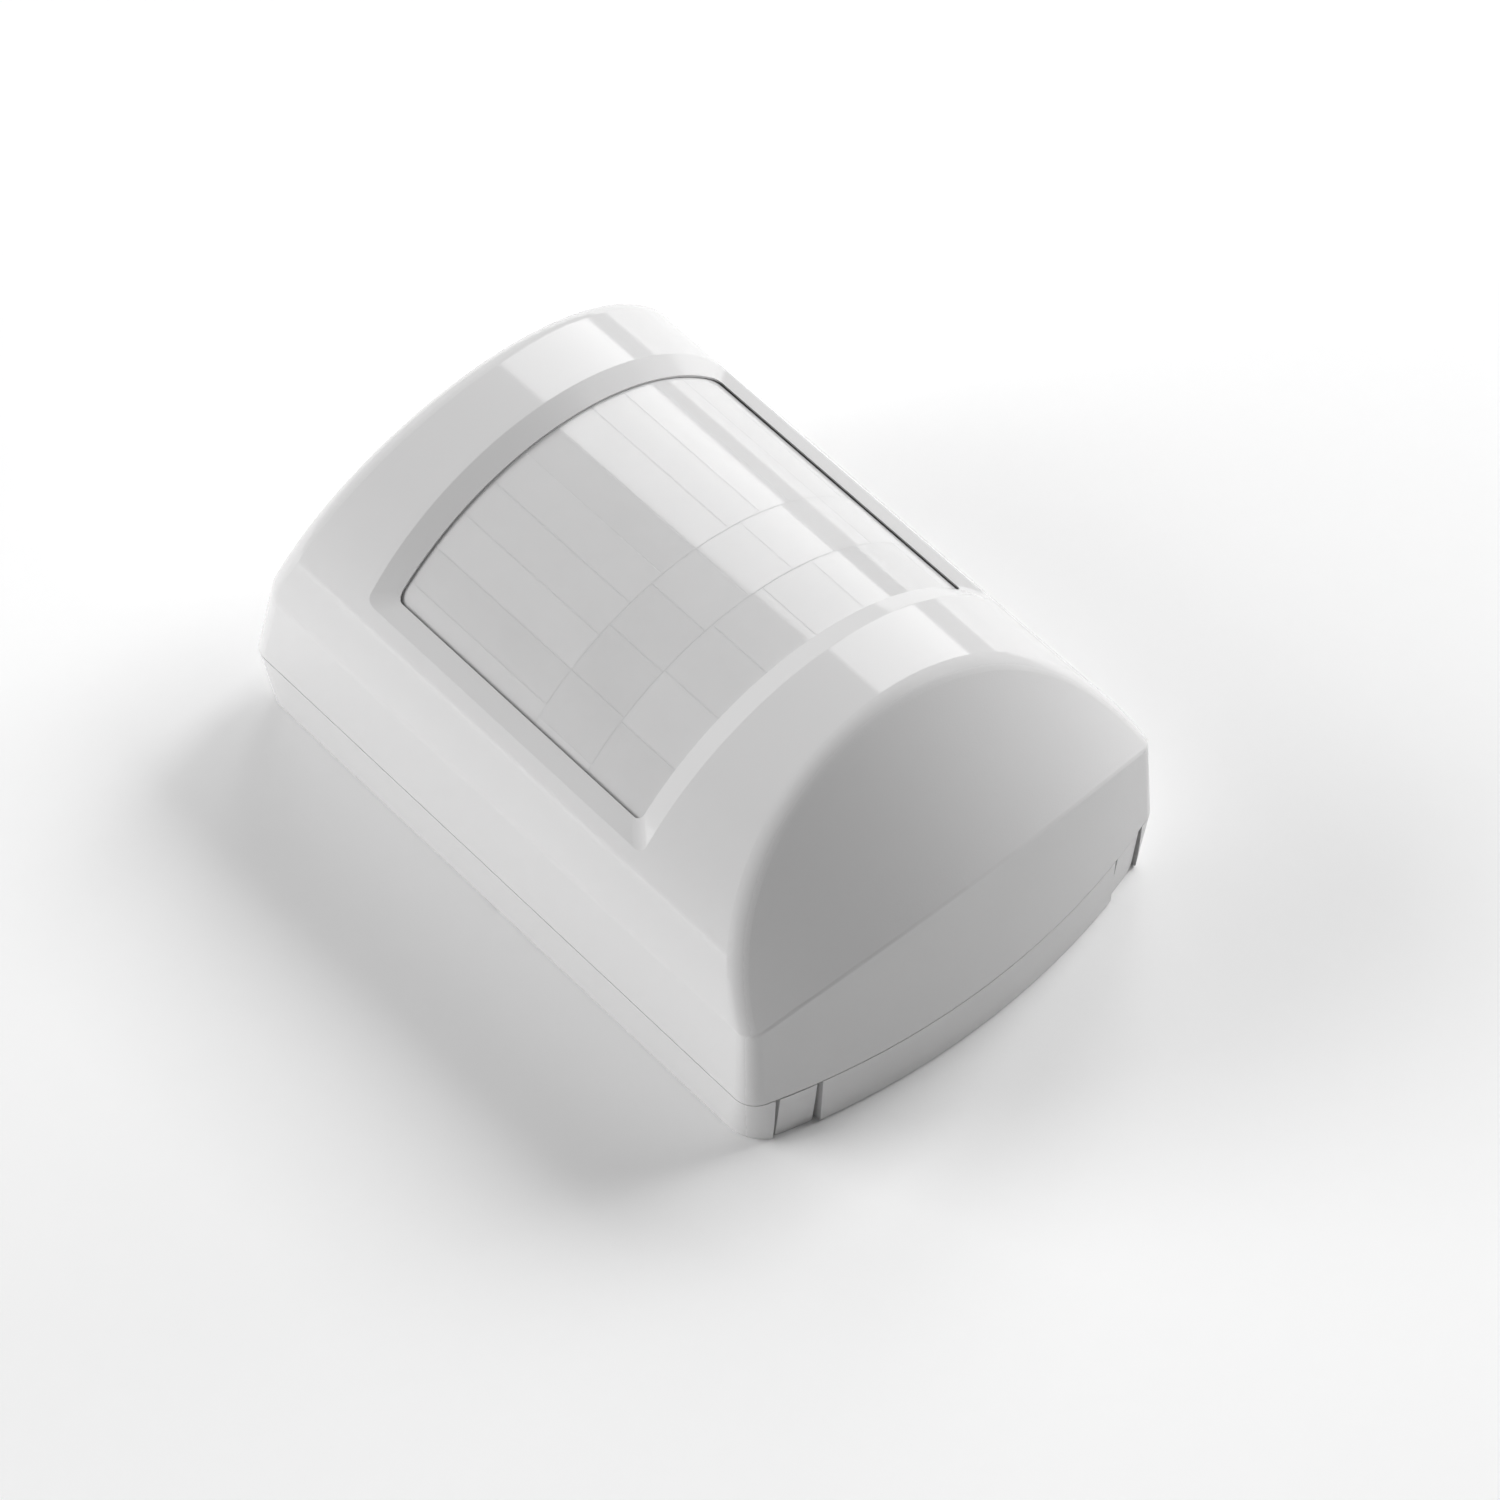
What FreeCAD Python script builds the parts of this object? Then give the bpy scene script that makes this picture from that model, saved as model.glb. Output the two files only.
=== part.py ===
import FreeCAD, Part
import math
import os

# Battery-powered wall motion sensor, lying on its flat mounting back.
# X is the width, Y the length (-Y is the bottom end when it hangs on a wall), Z points out of the wall.
# The origin is the middle of the mounting back. Every size is in millimetres.

V = FreeCAD.Vector
X_AXIS = V(1, 0, 0)
Y_AXIS = V(0, 1, 0)
Z_AXIS = V(0, 0, 1)
REACH = 60.0                # cutting blocks run this far, well clear of the housing
SPARE = 1.0                 # how far a cutting tool passes a face it cuts through
FIT_TOLERANCE = 0.05        # how near to a surface an edge has to be to count as on it
MERGE = 0.1                 # overlap that joins two volumes of one moulding

# Outer body
HALF_WIDTH = 31.0           # at the seam between the two housings, the widest place
HALF_LENGTH = 45.7          # at the seam
SEAM_Z = 8.4
SEAM_GAP = 0.14
TOP_Z = 41.6
SHOULDER_Z = 20.4           # where the side wall meets the round front
SIDE_DRAFT = 0.05           # run per unit rise of the cover's side walls
NEAR_DRAFT = math.tan(math.radians(5))
FAR_DRAFT = math.tan(math.radians(12))
NEAR_BOW_RADIUS = 94.0      # bow of the bottom end wall, seen from the front
NEAR_CORNER_BACK = 5.5      # the bottom end's corners get sharper from the wall towards the front
NEAR_CORNER_SEAM = 3.0
NEAR_CORNER_TAPER = 0.05    # loss of radius per unit rise above the seam
FAR_CORNER = 3.0
SMALLEST_CORNER = 0.8
BACK_HALF_WIDTH = 30.4      # the rear housing narrows towards the wall
BACK_FAR_Y = 43.9
BACK_NEAR_INSET = 0.3

# Round front: a cylinder along Y through the shoulders and the top
SHOULDER_HALF = HALF_WIDTH - (SHOULDER_Z - SEAM_Z) * SIDE_DRAFT
FRONT_AXIS_Z = (TOP_Z ** 2 - SHOULDER_HALF ** 2 - SHOULDER_Z ** 2) / (2 * (TOP_Z - SHOULDER_Z))
FRONT_RADIUS = TOP_Z - FRONT_AXIS_Z

# Sloping facet at the bottom end: a shallow cylinder whose straight lines run down the slope
FACET_TOP_Y = -27.2
FACET_SLOPE = math.radians(40.2)
FACET_RADIUS = 58.0
FACET_RIM_FILLET = 3.5
FAR_RIM_FILLET = 2.6        # round the top end's rim and along the shoulders
FOOT_FILLET = 0.7           # along the foot of the facet and up its sides
END_START = 36.0            # an edge whose middle is farther out than this belongs to an end's rim

# Walls
COVER_WALL = 2.0
TRAY_WALL = 1.9
TRAY_FLOOR = 1.8
TRAY_BOTTOM_FILLET = 0.5
LIP_GAP = 0.3
LIP_THICKNESS = 1.0
LIP_HEIGHT = 1.2
LIP_ROOT = 2.0              # how far down inside the tray's wall the lip starts
LIP_BITE = 0.5              # how deep the lip's root sits in the wall

# Lens window: the opening, and the bevel that frames it
WINDOW_HALF = 24.0
WINDOW_NEAR_Y = -14.9
WINDOW_FAR_Y = 26.1
WINDOW_MIDDLE_Y = (WINDOW_NEAR_Y + WINDOW_FAR_Y) / 2
WINDOW_LENGTH = WINDOW_FAR_Y - WINDOW_NEAR_Y
BEVEL_HALF = 26.2
BEVEL_NEAR_Y = -17.7
BEVEL_FAR_Y = 28.9
BEVEL_DEPTH = 1.0
BEVEL_CORNER = 3.6          # rounding of the valleys at the frame's four corners
BEVEL_EDGE_FILLET = 0.3     # rounding of the frame's outer edge
WINDOW_CORNER = 0.9
BEVEL_SWEEP = 70.0          # half the angle the bevel's ends are swept through, in degrees

# The lens lies in a rebate on the inside of the cover, so that it shows close under the bevel
LENS_OUTER_RADIUS = FRONT_RADIUS - BEVEL_DEPTH - 0.35
LENS_THICKNESS = 0.6
LENS_GAP = 0.1
LENS_OVERLAP = 1.6
LENS_EDGE_GAP = 0.2
RETAINER_THICKNESS = 1.4
RETAINER_SIDE_OVERLAP = 2.2
RETAINER_END_OVERLAP = 2.5
RETAINER_SIDE_INSET = 0.2

# Rails inside the cover's side walls that the lens retainer's edges rest on
RAIL_INNER_X = 25.6
RAIL_ROOT_X = 30.0
RAIL_TOP_Z = 20.7
RAIL_THICKNESS = 1.7
RAIL_BRACKET = 2.0          # how far the sloping underside reaches in
RAIL_Y = (-12, 24)

# Latch tabs in the bottom end of the rear housing
SLIT_WIDTH = 0.6
TAB_SLITS = (22.5, 27.5)    # the middle lines of the two slits beside each tab
TAB_X = (TAB_SLITS[0] + TAB_SLITS[1]) / 2
TAB_INSET_TOP = 0.1
TAB_INSET_BACK = 0.9
TAB_THICKNESS = 1.5
TAB_TOP_Z = SEAM_Z - 0.35   # low enough to clear the cover while the tab tips inwards
TAB_PIVOT_Y = -37.9
TAB_PIVOT_GAP = 0.3
TAB_FOOT_INSET = 0.4
TAB_FOOT_BOTTOM = 0.15
TAB_FOOT_TOP = 1.5
TAB_SHELF_THICKNESS = 1.4
TAB_STEM_INSET = 3.5
TAB_STEM_THICKNESS = 1.2
TAB_STEM_HEIGHT = 3.2
TAB_NOSE_REACH = 0.45
TAB_NOSE_Z = (1.7, 2.7)     # above the tab's top
TAB_UPPER_SIDE_GAP = 0.3
LIP_TAB_CLEARANCE = 4.2     # half the width left free of lip at each tab

# Ledges inside the cover that the tabs' noses catch
LEDGE_HEIGHT = 1.2
LEDGE_REACH = 0.8
LEDGE_ROOT = 0.4
LEDGE_LIFT = 0.1
LEDGE_SIDE_GAP = 0.4

# Cover hooks at the top end, and the pockets they hang in
HOOK_X = 16.0
HOOK_WIDTH = 7.0
HOOK_FRONT_Y = 41.2
HOOK_STEM_Y = 42.3
HOOK_TOE_Y = 43.3
HOOK_ROOT_Y = 44.0
HOOK_BOTTOM_Z = 4.2
HOOK_TOE_Z = (5.2, 5.6)
HOOK_ROOT_Z = (10.0, 10.6, 13.5)
POCKET_HALF = 4.1
POCKET_Y = (41.0, 43.7)
POCKET_Z = (3.7, 6.4)

# Groove inside the floor that thins it for a wire entry
WIRE_ENTRY_HALF = 6.0
WIRE_ENTRY_Y = (39.2, 41.6)
WIRE_ENTRY_SKIN = 0.6

# Circuit board
BOARD_HALF = 26.0
BOARD_NEAR_Y = -36.6
BOARD_FAR_Y = 38.0
BOARD_BACK_Z = 3.8
BOARD_TOP_Z = 5.4
BOARD_CORNER = 2.0
BOARD_POSTS = [(-21.0, 33.5), (21.0, 33.5), (-21.0, -18.0), (21.0, -18.0)]   # the first takes the screw
BOARD_POST_RADIUS = 2.2

# Board screw
SCREW_HOLE_RADIUS = 1.0
SCREW_HOLE_DEPTH = 0.6      # into the floor
SCREW_CLEARANCE_RADIUS = 1.4
SCREW_SHANK_RADIUS = 0.98
SCREW_HEAD_RADIUS = 2.2
SCREW_HEAD_HEIGHT = 1.5
SCREW_HEAD_FILLET = 0.5
SCREW_SLOT_HALF = (1.4, 0.25)
SCREW_SLOT_FLOOR = 0.7

# Holes for the wall screws, with matching holes in the board for the screw heads
WALL_HOLE_RADIUS = 2.1
WALL_HOLE_NEAR_Y = -13.0
WALL_HOLE_FAR_Y = 31.0
WALL_BOSS_RADIUS = 4.0
WALL_BOSS_DROP = 0.4        # below the back of the board
HEAD_HOLE_RADIUS = 4.3

# Detector
DETECTOR_Y = 8.0
CAN_RADIUS = 4.1
CAN_FILLET = 0.5
CAN_FLANGE_RADIUS = 4.65
CAN_FLANGE_HEIGHT = 0.6
CAN_HEIGHT = 4.2
SPACER_RADIUS = 4.4
SPACER_HEIGHT = 0.8
FILTER_HALF = (2.6, 1.9)
FILTER_DEPTH = 0.5
FILTER_SUNK = 0.12
LEAD_CIRCLE = 2.54
LEAD_ANGLES = (45, 135, 225)
LEAD_RADIUS = 0.225
LEAD_HOLE_RADIUS = 0.45
LEAD_BOTTOM_Z = 2.2

# Indicator lamp
LED_X = 8.5
LED_Y = -11.0
LED_FLANGE_RADIUS = 1.9
LED_FLANGE_HEIGHT = 0.8
LED_RADIUS = 1.5
LED_DOME_HEIGHT = 3.2

# Tamper switch
TAMPER_X = -11.0
TAMPER_Y = 33.4
TAMPER_HALF = 3.0
TAMPER_BODY_TOP_Z = 9.4
TAMPER_TIP_Z = 15.6
TAMPER_BORE_RADIUS = 1.25
TAMPER_BORE_FLOOR = 1.6
TAMPER_STEM_RADIUS = 1.2
TAMPER_STEM_BOTTOM = 2.7
TAMPER_CAP_RADIUS = 2.4
TAMPER_CAP_HEIGHT = 1.2
TAMPER_CAP_FILLET = 0.4
TAMPER_POST_RADIUS = 1.9
TAMPER_POST_GAP = 0.3
SPRING_WIRE = 0.2
SPRING_RADIUS = 1.8
SPRING_TURNS = 4
SPRING_END_GAP = 0.02

# Pairing button
BUTTON_X = 19.5
BUTTON_Y = 4.0
BUTTON_HALF = 3.0
BUTTON_BODY_HEIGHT = 3.4
BUTTON_BORE = (1.8, 1.4)    # radius, and floor above the board
BUTTON_CAP_RADIUS = 1.75
BUTTON_CAP_Z = (2.0, 4.8)   # above the board
BUTTON_CAP_FILLET = 0.3

# Chips
CHIP_LIFT = 0.15
PIN_HALF_WIDTH = 0.18
PIN_HEIGHT = 0.5

# Radio board and the metal can over its circuit
RADIO_X = (8.0, 24.0)
RADIO_Y = (13.0, 27.0)
RADIO_BOARD_HEIGHT = 0.8
RADIO_CAN_MARGIN = 1.0
RADIO_PAD_MARGIN = 3.0      # left free of can for the pads on the right
RADIO_CAN_HEIGHT = 1.9
RADIO_CAN_WALL = 0.25
RADIO_CAN_CORNER = 0.6

# Antenna coil
COIL_WIRE = 0.4
COIL_RADIUS = 2.6
COIL_PITCH = 1.7
COIL_TURNS = 12
COIL_START_X = -15.0
COIL_Y = 25.0
COIL_LIFT = 0.3

# Upright capacitors: x, y, radius, height
ELECTROLYTICS = [(-10.5, -10.0, 3.1, 7.0), (-18.5, -9.0, 2.5, 6.0), (18.5, -9.5, 3.1, 7.0)]
ELECTROLYTIC_FILLET = 0.4

# Chip resistors and capacitors
SMALL_PART_LENGTH = 1.7
SMALL_PART_WIDTH = 0.9
SMALL_PART_HEIGHT = 0.55

# Jumper
JUMPER_X = 13.5
JUMPER_Y = -3.0
PIN_PITCH = 2.54
JUMPER_PIN_HALF = 0.32
JUMPER_HEADER_HEIGHT = 2.5
JUMPER_PIN_TOP = 8.2
JUMPER_CAP_HALF = (2.5, 1.25)
JUMPER_CAP_BORE_HALF = (1.75, 0.5)
JUMPER_CAP_Z = (2.6, 8.6)
JUMPER_CAP_ROOF = 0.3

# Battery, a 17 mm by 34.5 mm lithium cell lying across the housing
CELL_RADIUS = 8.4
CELL_HALF = 17.1
CELL_Y = -28.6
CELL_Z = 14.9
CELL_FILLET = 0.7
CELL_CAP_RADIUS = 3.2
CELL_CAP_HEIGHT = 1.2
HOLDER_HALF_Y = 7.6
HOLDER_END = 2.6            # past the cell at each end
HOLDER_END_ROOM = 1.2       # of which this much is free for the contact
HOLDER_RIM_DROP = 1.5       # below the cell's middle
HOLDER_CELL_GAP = 0.25
HOLDER_WELL_HALF_Y = 5.5
HOLDER_WELL_DEPTH = 7.0     # below the cell's middle
CONTACT_HALF_Y = 3.5
CONTACT_Z = (-6.5, 4.5)     # about the cell's middle
CONTACT_THICKNESS = 0.4
CONTACT_GAP = 0.1
CONTACT_BUMP = (2.6, 1.2, 0.65)   # foot radius, tip radius, height


def box(x0, x1, y0, y1, z0, z1):
    """A block between two corners."""
    return Part.makeBox(x1 - x0, y1 - y0, z1 - z0, V(x0, y0, z0))


def block(x, y, half_x, half_y, z0, z1):
    """A block round a middle point."""
    return box(x - half_x, x + half_x, y - half_y, y + half_y, z0, z1)


def post(radius, x, y, z0, z1):
    """An upright round post."""
    return Part.makeCylinder(radius, z1 - z0, V(x, y, z0), Z_AXIS)


def middle(edge):
    """The point halfway along an edge."""
    return edge.valueAt((edge.FirstParameter + edge.LastParameter) / 2)


def upright(shape):
    """The straight upright edges of a shape."""
    return [edge for edge in shape.Edges if abs(edge.tangentAt(edge.FirstParameter).z) > 0.9]


def edges_above(shape, z):
    """The edges that lie wholly above a height."""
    return [edge for edge in shape.Edges if edge.BoundBox.ZMin > z]


def edges_below(shape, z):
    """The edges that lie wholly below a height."""
    return [edge for edge in shape.Edges if edge.BoundBox.ZMax < z]


def fuse(shapes):
    """One solid from shapes that share material."""
    whole = shapes[0]
    for shape in shapes[1:]:
        whole = whole.fuse(shape)
    return whole.removeSplitter()


def mirror_x(shape):
    return shape.mirror(V(0, 0, 0), X_AXIS)


def polygon_prism_x(points_yz, x0, x1):
    """A prism along X from an outline in the YZ plane."""
    outline = Part.makePolygon([V(x0, y, z) for y, z in points_yz + points_yz[:1]])
    return Part.Face(outline).extrude(V(x1 - x0, 0, 0))


def polygon_prism_y(points_xz, y0, y1):
    """A prism along Y from an outline in the XZ plane."""
    outline = Part.makePolygon([V(x, y0, z) for x, z in points_xz + points_xz[:1]])
    return Part.Face(outline).extrude(V(0, y1 - y0, 0))


def plan_outline(z, half, near_y, far_y, near_corner, inset):
    """The housing's outline at one height: bowed bottom end, straight sides and top end, round corners."""
    half -= inset
    near_y += inset
    far_y -= inset
    bow = NEAR_BOW_RADIUS - inset
    near_r = max(near_corner - inset, SMALLEST_CORNER)
    far_r = max(FAR_CORNER - inset, SMALLEST_CORNER)
    bow_y = near_y + bow
    corner_x = half - near_r
    corner_y = bow_y - math.sqrt((bow - near_r) ** 2 - corner_x ** 2)
    reach = bow / (bow - near_r)
    bow_end = (corner_x * reach, bow_y + (corner_y - bow_y) * reach)
    turn = (math.atan2(bow_end[1] - corner_y, bow_end[0] - corner_x)) / 2
    near_mid = (corner_x + near_r * math.cos(turn), corner_y + near_r * math.sin(turn))
    far_mid = (half - far_r + far_r * math.sqrt(0.5), far_y - far_r + far_r * math.sqrt(0.5))

    def p(point, side):
        return V(side * point[0], point[1], z)

    def arc(a, b, c):
        return Part.Arc(a, b, c).toShape()

    def line(a, b):
        return Part.LineSegment(a, b).toShape()

    side_near = (half, corner_y)
    side_far = (half, far_y - far_r)
    top_end = (half - far_r, far_y)
    edges = [
        arc(p(bow_end, -1), V(0, near_y, z), p(bow_end, 1)),
        arc(p(bow_end, 1), p(near_mid, 1), p(side_near, 1)),
        line(p(side_near, 1), p(side_far, 1)),
        arc(p(side_far, 1), p(far_mid, 1), p(top_end, 1)),
        line(p(top_end, 1), p(top_end, -1)),
        arc(p(top_end, -1), p(far_mid, -1), p(side_far, -1)),
        line(p(side_far, -1), p(side_near, -1)),
        arc(p(side_near, -1), p(near_mid, -1), p(bow_end, -1)),
    ]
    return Part.Wire(edges)


def cover_plan(inset, z0, z1):
    """The drafted column that the cover's walls follow."""
    wires = []
    for z in (z0, z1):
        rise = z - SEAM_Z
        half = HALF_WIDTH - rise * SIDE_DRAFT
        near_y = -HALF_LENGTH + rise * NEAR_DRAFT
        far_y = HALF_LENGTH - rise * FAR_DRAFT
        near_corner = NEAR_CORNER_SEAM - rise * NEAR_CORNER_TAPER
        wires.append(plan_outline(z, half, near_y, far_y, near_corner, inset))
    return Part.makeLoft(wires, True, True)


def tray_plan(inset, z0, z1, near_inset_back=BACK_NEAR_INSET, near_inset_top=0.0):
    """The column that the rear housing's walls follow, which widens from the wall to the seam."""
    wires = []
    for z in (z0, z1):
        rise = z / SEAM_Z
        half = BACK_HALF_WIDTH + (HALF_WIDTH - BACK_HALF_WIDTH) * rise
        far_y = BACK_FAR_Y + (HALF_LENGTH - BACK_FAR_Y) * rise
        near_inset = near_inset_back + (near_inset_top - near_inset_back) * rise
        near_corner = NEAR_CORNER_BACK + (NEAR_CORNER_SEAM - NEAR_CORNER_BACK) * rise
        wires.append(plan_outline(z, half, -HALF_LENGTH + near_inset, far_y, near_corner, inset))
    return Part.makeLoft(wires, True, True)


def cover_ring(outer_inset, inner_inset, z0, z1):
    """An upright band that follows the cover's walls between two insets."""
    inside = cover_plan(inner_inset, z0 - SPARE, z1 + SPARE)
    return cover_plan(outer_inset, z0, z1).cut(inside)


def tray_ring(outer_inset, inner_inset, z0, z1, near_inset_back=BACK_NEAR_INSET, near_inset_top=0.0):
    """An upright band that follows the tray's walls between two insets."""
    inside = tray_plan(inner_inset, z0 - SPARE, z1 + SPARE, near_inset_back, near_inset_top)
    return tray_plan(outer_inset, z0, z1, near_inset_back, near_inset_top).cut(inside)


def front_cap(inset, rounded):
    """Everything under the round front and the sloping facet, with the rim between them rounded."""
    radius = FRONT_RADIUS - inset
    start = -1.5 * REACH
    side = Part.makePolygon([V(-radius, start, FRONT_AXIS_Z), V(-radius, start, 0),
                             V(radius, start, 0), V(radius, start, FRONT_AXIS_Z)])
    crown = Part.Arc(V(radius, start, FRONT_AXIS_Z), V(0, start, FRONT_AXIS_Z + radius),
                     V(-radius, start, FRONT_AXIS_Z)).toShape()
    column = Part.Face(Part.Wire(side.Edges + [crown])).extrude(V(0, 3 * REACH, 0))
    down = V(0, -math.cos(FACET_SLOPE), -math.sin(FACET_SLOPE))
    out = V(0, -math.sin(FACET_SLOPE), math.cos(FACET_SLOPE))
    slope_start = V(0, FACET_TOP_Y, TOP_Z) - out * FACET_RADIUS - down * 3 * REACH
    facet = Part.makeCylinder(FACET_RADIUS - inset, 6 * REACH, slope_start, down)
    cap = column.common(facet)
    if rounded:
        rim = [edge for edge in edges_above(cap, FRONT_AXIS_Z - SPARE)
               if middle(edge).y < 0 and abs(middle(edge).x) < 1]
        cap = cap.makeFillet(FACET_RIM_FILLET, rim)
    return cap


def window_bevel():
    """The cut that leaves a sloping picture frame round the lens window."""
    overrun = 4             # both cutters carry on past the surface by this many bevel depths
    inner_r = FRONT_RADIUS - BEVEL_DEPTH
    inner_z = FRONT_AXIS_Z + math.sqrt(inner_r ** 2 - WINDOW_HALF ** 2)
    outer_z = FRONT_AXIS_Z + math.sqrt(FRONT_RADIUS ** 2 - BEVEL_HALF ** 2)
    near_run = (WINDOW_NEAR_Y - BEVEL_NEAR_Y) * overrun
    far_run = (BEVEL_FAR_Y - WINDOW_FAR_Y) * overrun
    floor_z = FRONT_AXIS_Z + inner_r
    section = [
        V(0, WINDOW_NEAR_Y, floor_z),
        V(0, WINDOW_FAR_Y, floor_z),
        V(0, WINDOW_FAR_Y + far_run, floor_z + overrun * BEVEL_DEPTH),
        V(0, WINDOW_NEAR_Y - near_run, floor_z + overrun * BEVEL_DEPTH),
    ]
    face = Part.Face(Part.makePolygon(section + section[:1]))
    axis_point = V(0, 0, FRONT_AXIS_Z)
    face.rotate(axis_point, Y_AXIS, -BEVEL_SWEEP)
    ring = face.revolve(axis_point, Y_AXIS, 2 * BEVEL_SWEEP)
    run = (BEVEL_HALF - WINDOW_HALF) * overrun
    fall = (inner_z - outer_z) * overrun
    wedge = polygon_prism_y([
        (-WINDOW_HALF, inner_z), (WINDOW_HALF, inner_z), (WINDOW_HALF + run, inner_z - fall),
        (WINDOW_HALF + run, REACH), (-WINDOW_HALF - run, REACH), (-WINDOW_HALF - run, inner_z - fall),
    ], -REACH, REACH)
    cutter = ring.common(wedge)
    corners = [edge for edge in cutter.Edges if abs(edge.Vertexes[0].Z - edge.Vertexes[-1].Z) > SPARE]
    return cutter.makeFillet(BEVEL_CORNER, corners)


def frame_edge(shell):
    """The edges where the window's sloping frame meets the round front."""
    edges = []
    for edge in shell.Edges:
        point = middle(edge)
        radius = math.hypot(point.x, point.z - FRONT_AXIS_Z)
        in_frame = abs(point.x) < BEVEL_HALF + SPARE and BEVEL_NEAR_Y - SPARE < point.y < BEVEL_FAR_Y + SPARE
        if in_frame and point.z > SHOULDER_Z and abs(radius - FRONT_RADIUS) < FIT_TOLERANCE:
            edges.append(edge)
    return edges


def lens_band(outer_r, inner_r, half_chord, length):
    """A bent sheet on the front's axis, centred on the window."""
    start = V(0, WINDOW_MIDDLE_Y - length / 2, FRONT_AXIS_Z)
    ring = Part.makeCylinder(outer_r, length, start, Y_AXIS)
    ring = ring.cut(Part.makeCylinder(inner_r, length, start, Y_AXIS))
    return ring.common(box(-half_chord, half_chord, -REACH, REACH, FRONT_AXIS_Z + 5, REACH))


def lens_rebate():
    """The step inside the cover that the lens lies in."""
    half = WINDOW_HALF + LENS_OVERLAP + LENS_EDGE_GAP
    length = WINDOW_LENGTH + 2 * (LENS_OVERLAP + LENS_EDGE_GAP)
    return lens_band(LENS_OUTER_RADIUS + LENS_GAP, FRONT_RADIUS - COVER_WALL - SPARE, half, length)


def cover_ledges():
    """Two small ledges inside the cover's bottom wall that the latch tabs hold."""
    z0 = SEAM_Z + SEAM_GAP / 2 + LEDGE_LIFT
    ring = cover_ring(COVER_WALL - LEDGE_ROOT, COVER_WALL + LEDGE_REACH, z0, z0 + LEDGE_HEIGHT)
    half_ledge = (TAB_SLITS[1] - TAB_SLITS[0] - SLIT_WIDTH) / 2 - LEDGE_SIDE_GAP
    ledge = ring.common(box(TAB_X - half_ledge, TAB_X + half_ledge, -REACH, -HALF_LENGTH / 2, 0, SHOULDER_Z))
    return [ledge, mirror_x(ledge)]


def cover_hook(x):
    """One hook inside the cover's top wall; its foot sits in a pocket of the rear housing."""
    outline = [
        (HOOK_FRONT_Y, HOOK_ROOT_Z[2]),
        (HOOK_FRONT_Y, HOOK_BOTTOM_Z),
        (HOOK_TOE_Y, HOOK_BOTTOM_Z),
        (HOOK_TOE_Y, HOOK_TOE_Z[0]),
        (HOOK_STEM_Y, HOOK_TOE_Z[1]),
        (HOOK_STEM_Y, HOOK_ROOT_Z[0]),
        (HOOK_ROOT_Y, HOOK_ROOT_Z[1]),
        (HOOK_ROOT_Y, HOOK_ROOT_Z[2]),
    ]
    return polygon_prism_x(outline, x - HOOK_WIDTH / 2, x + HOOK_WIDTH / 2)


def retainer_rail():
    """The rail inside the right side wall, with a sloping underside."""
    outline = [
        (RAIL_INNER_X, RAIL_TOP_Z),
        (RAIL_ROOT_X, RAIL_TOP_Z),
        (RAIL_ROOT_X, RAIL_TOP_Z - RAIL_THICKNESS),
        (RAIL_INNER_X + RAIL_BRACKET, RAIL_TOP_Z - RAIL_THICKNESS),
    ]
    return polygon_prism_y(outline, *RAIL_Y)


def rounded_end(block_shape, side, radius):
    """The block's top end (side 1) or bottom end (side -1), parted at the facet's start, with a round rim."""
    y0, y1 = (FACET_TOP_Y, REACH) if side > 0 else (-REACH, FACET_TOP_Y)
    end = block_shape.common(box(-REACH, REACH, y0, y1, 0, REACH))
    rim = [edge for edge in edges_above(end, SHOULDER_Z - SPARE)
           if abs(middle(edge).x) < 1 and side * middle(edge).y > END_START]
    return end.makeFillet(radius, rim)


def cover_block():
    """The cover's outer shape as a solid block with its edges rounded."""
    block_shape = cover_plan(0, SEAM_Z + SEAM_GAP / 2, TOP_Z + SPARE).common(front_cap(0, True))
    return fuse([rounded_end(block_shape, 1, FAR_RIM_FILLET), rounded_end(block_shape, -1, FOOT_FILLET)])


def front_cover():
    """The front shell: round front, sloping facet, lens window, hooks, ledges and tamper post."""
    seam = SEAM_Z + SEAM_GAP / 2
    outer = cover_block()
    hollow = cover_plan(COVER_WALL, seam - SPARE, TOP_Z + SPARE).common(front_cap(COVER_WALL, False))
    shell = outer.cut(hollow)
    shell = shell.cut(window_bevel())
    shell = shell.makeFillet(BEVEL_EDGE_FILLET, frame_edge(shell))
    opening = box(-WINDOW_HALF, WINDOW_HALF, WINDOW_NEAR_Y, WINDOW_FAR_Y, SHOULDER_Z, REACH)
    shell = shell.cut(opening.makeFillet(WINDOW_CORNER, upright(opening)))
    shell = shell.cut(lens_rebate())
    tamper_post = post(TAMPER_POST_RADIUS, TAMPER_X, TAMPER_Y, TAMPER_TIP_Z + TAMPER_POST_GAP, TOP_Z)
    rail = retainer_rail()
    parts = [shell] + cover_ledges() + [cover_hook(-HOOK_X), cover_hook(HOOK_X)]
    parts += [tamper_post.common(outer), rail.common(outer), mirror_x(rail).common(outer)]
    return fuse(parts)


def fresnel_lens():
    """The bent lens sheet behind the window."""
    length = WINDOW_LENGTH + 2 * LENS_OVERLAP
    inner_r = LENS_OUTER_RADIUS - LENS_THICKNESS
    return lens_band(LENS_OUTER_RADIUS, inner_r, WINDOW_HALF + LENS_OVERLAP, length)


def lens_retainer():
    """The frame that holds the lens up against the window."""
    outer_r = LENS_OUTER_RADIUS - LENS_THICKNESS - LENS_GAP
    half_chord = WINDOW_HALF + RETAINER_SIDE_OVERLAP
    length = WINDOW_LENGTH + 2 * RETAINER_END_OVERLAP
    frame = lens_band(outer_r, outer_r - RETAINER_THICKNESS, half_chord, length)
    opening_half = WINDOW_HALF + RETAINER_SIDE_INSET
    return frame.cut(box(-opening_half, opening_half, WINDOW_NEAR_Y, WINDOW_FAR_Y, 0, REACH))


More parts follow.
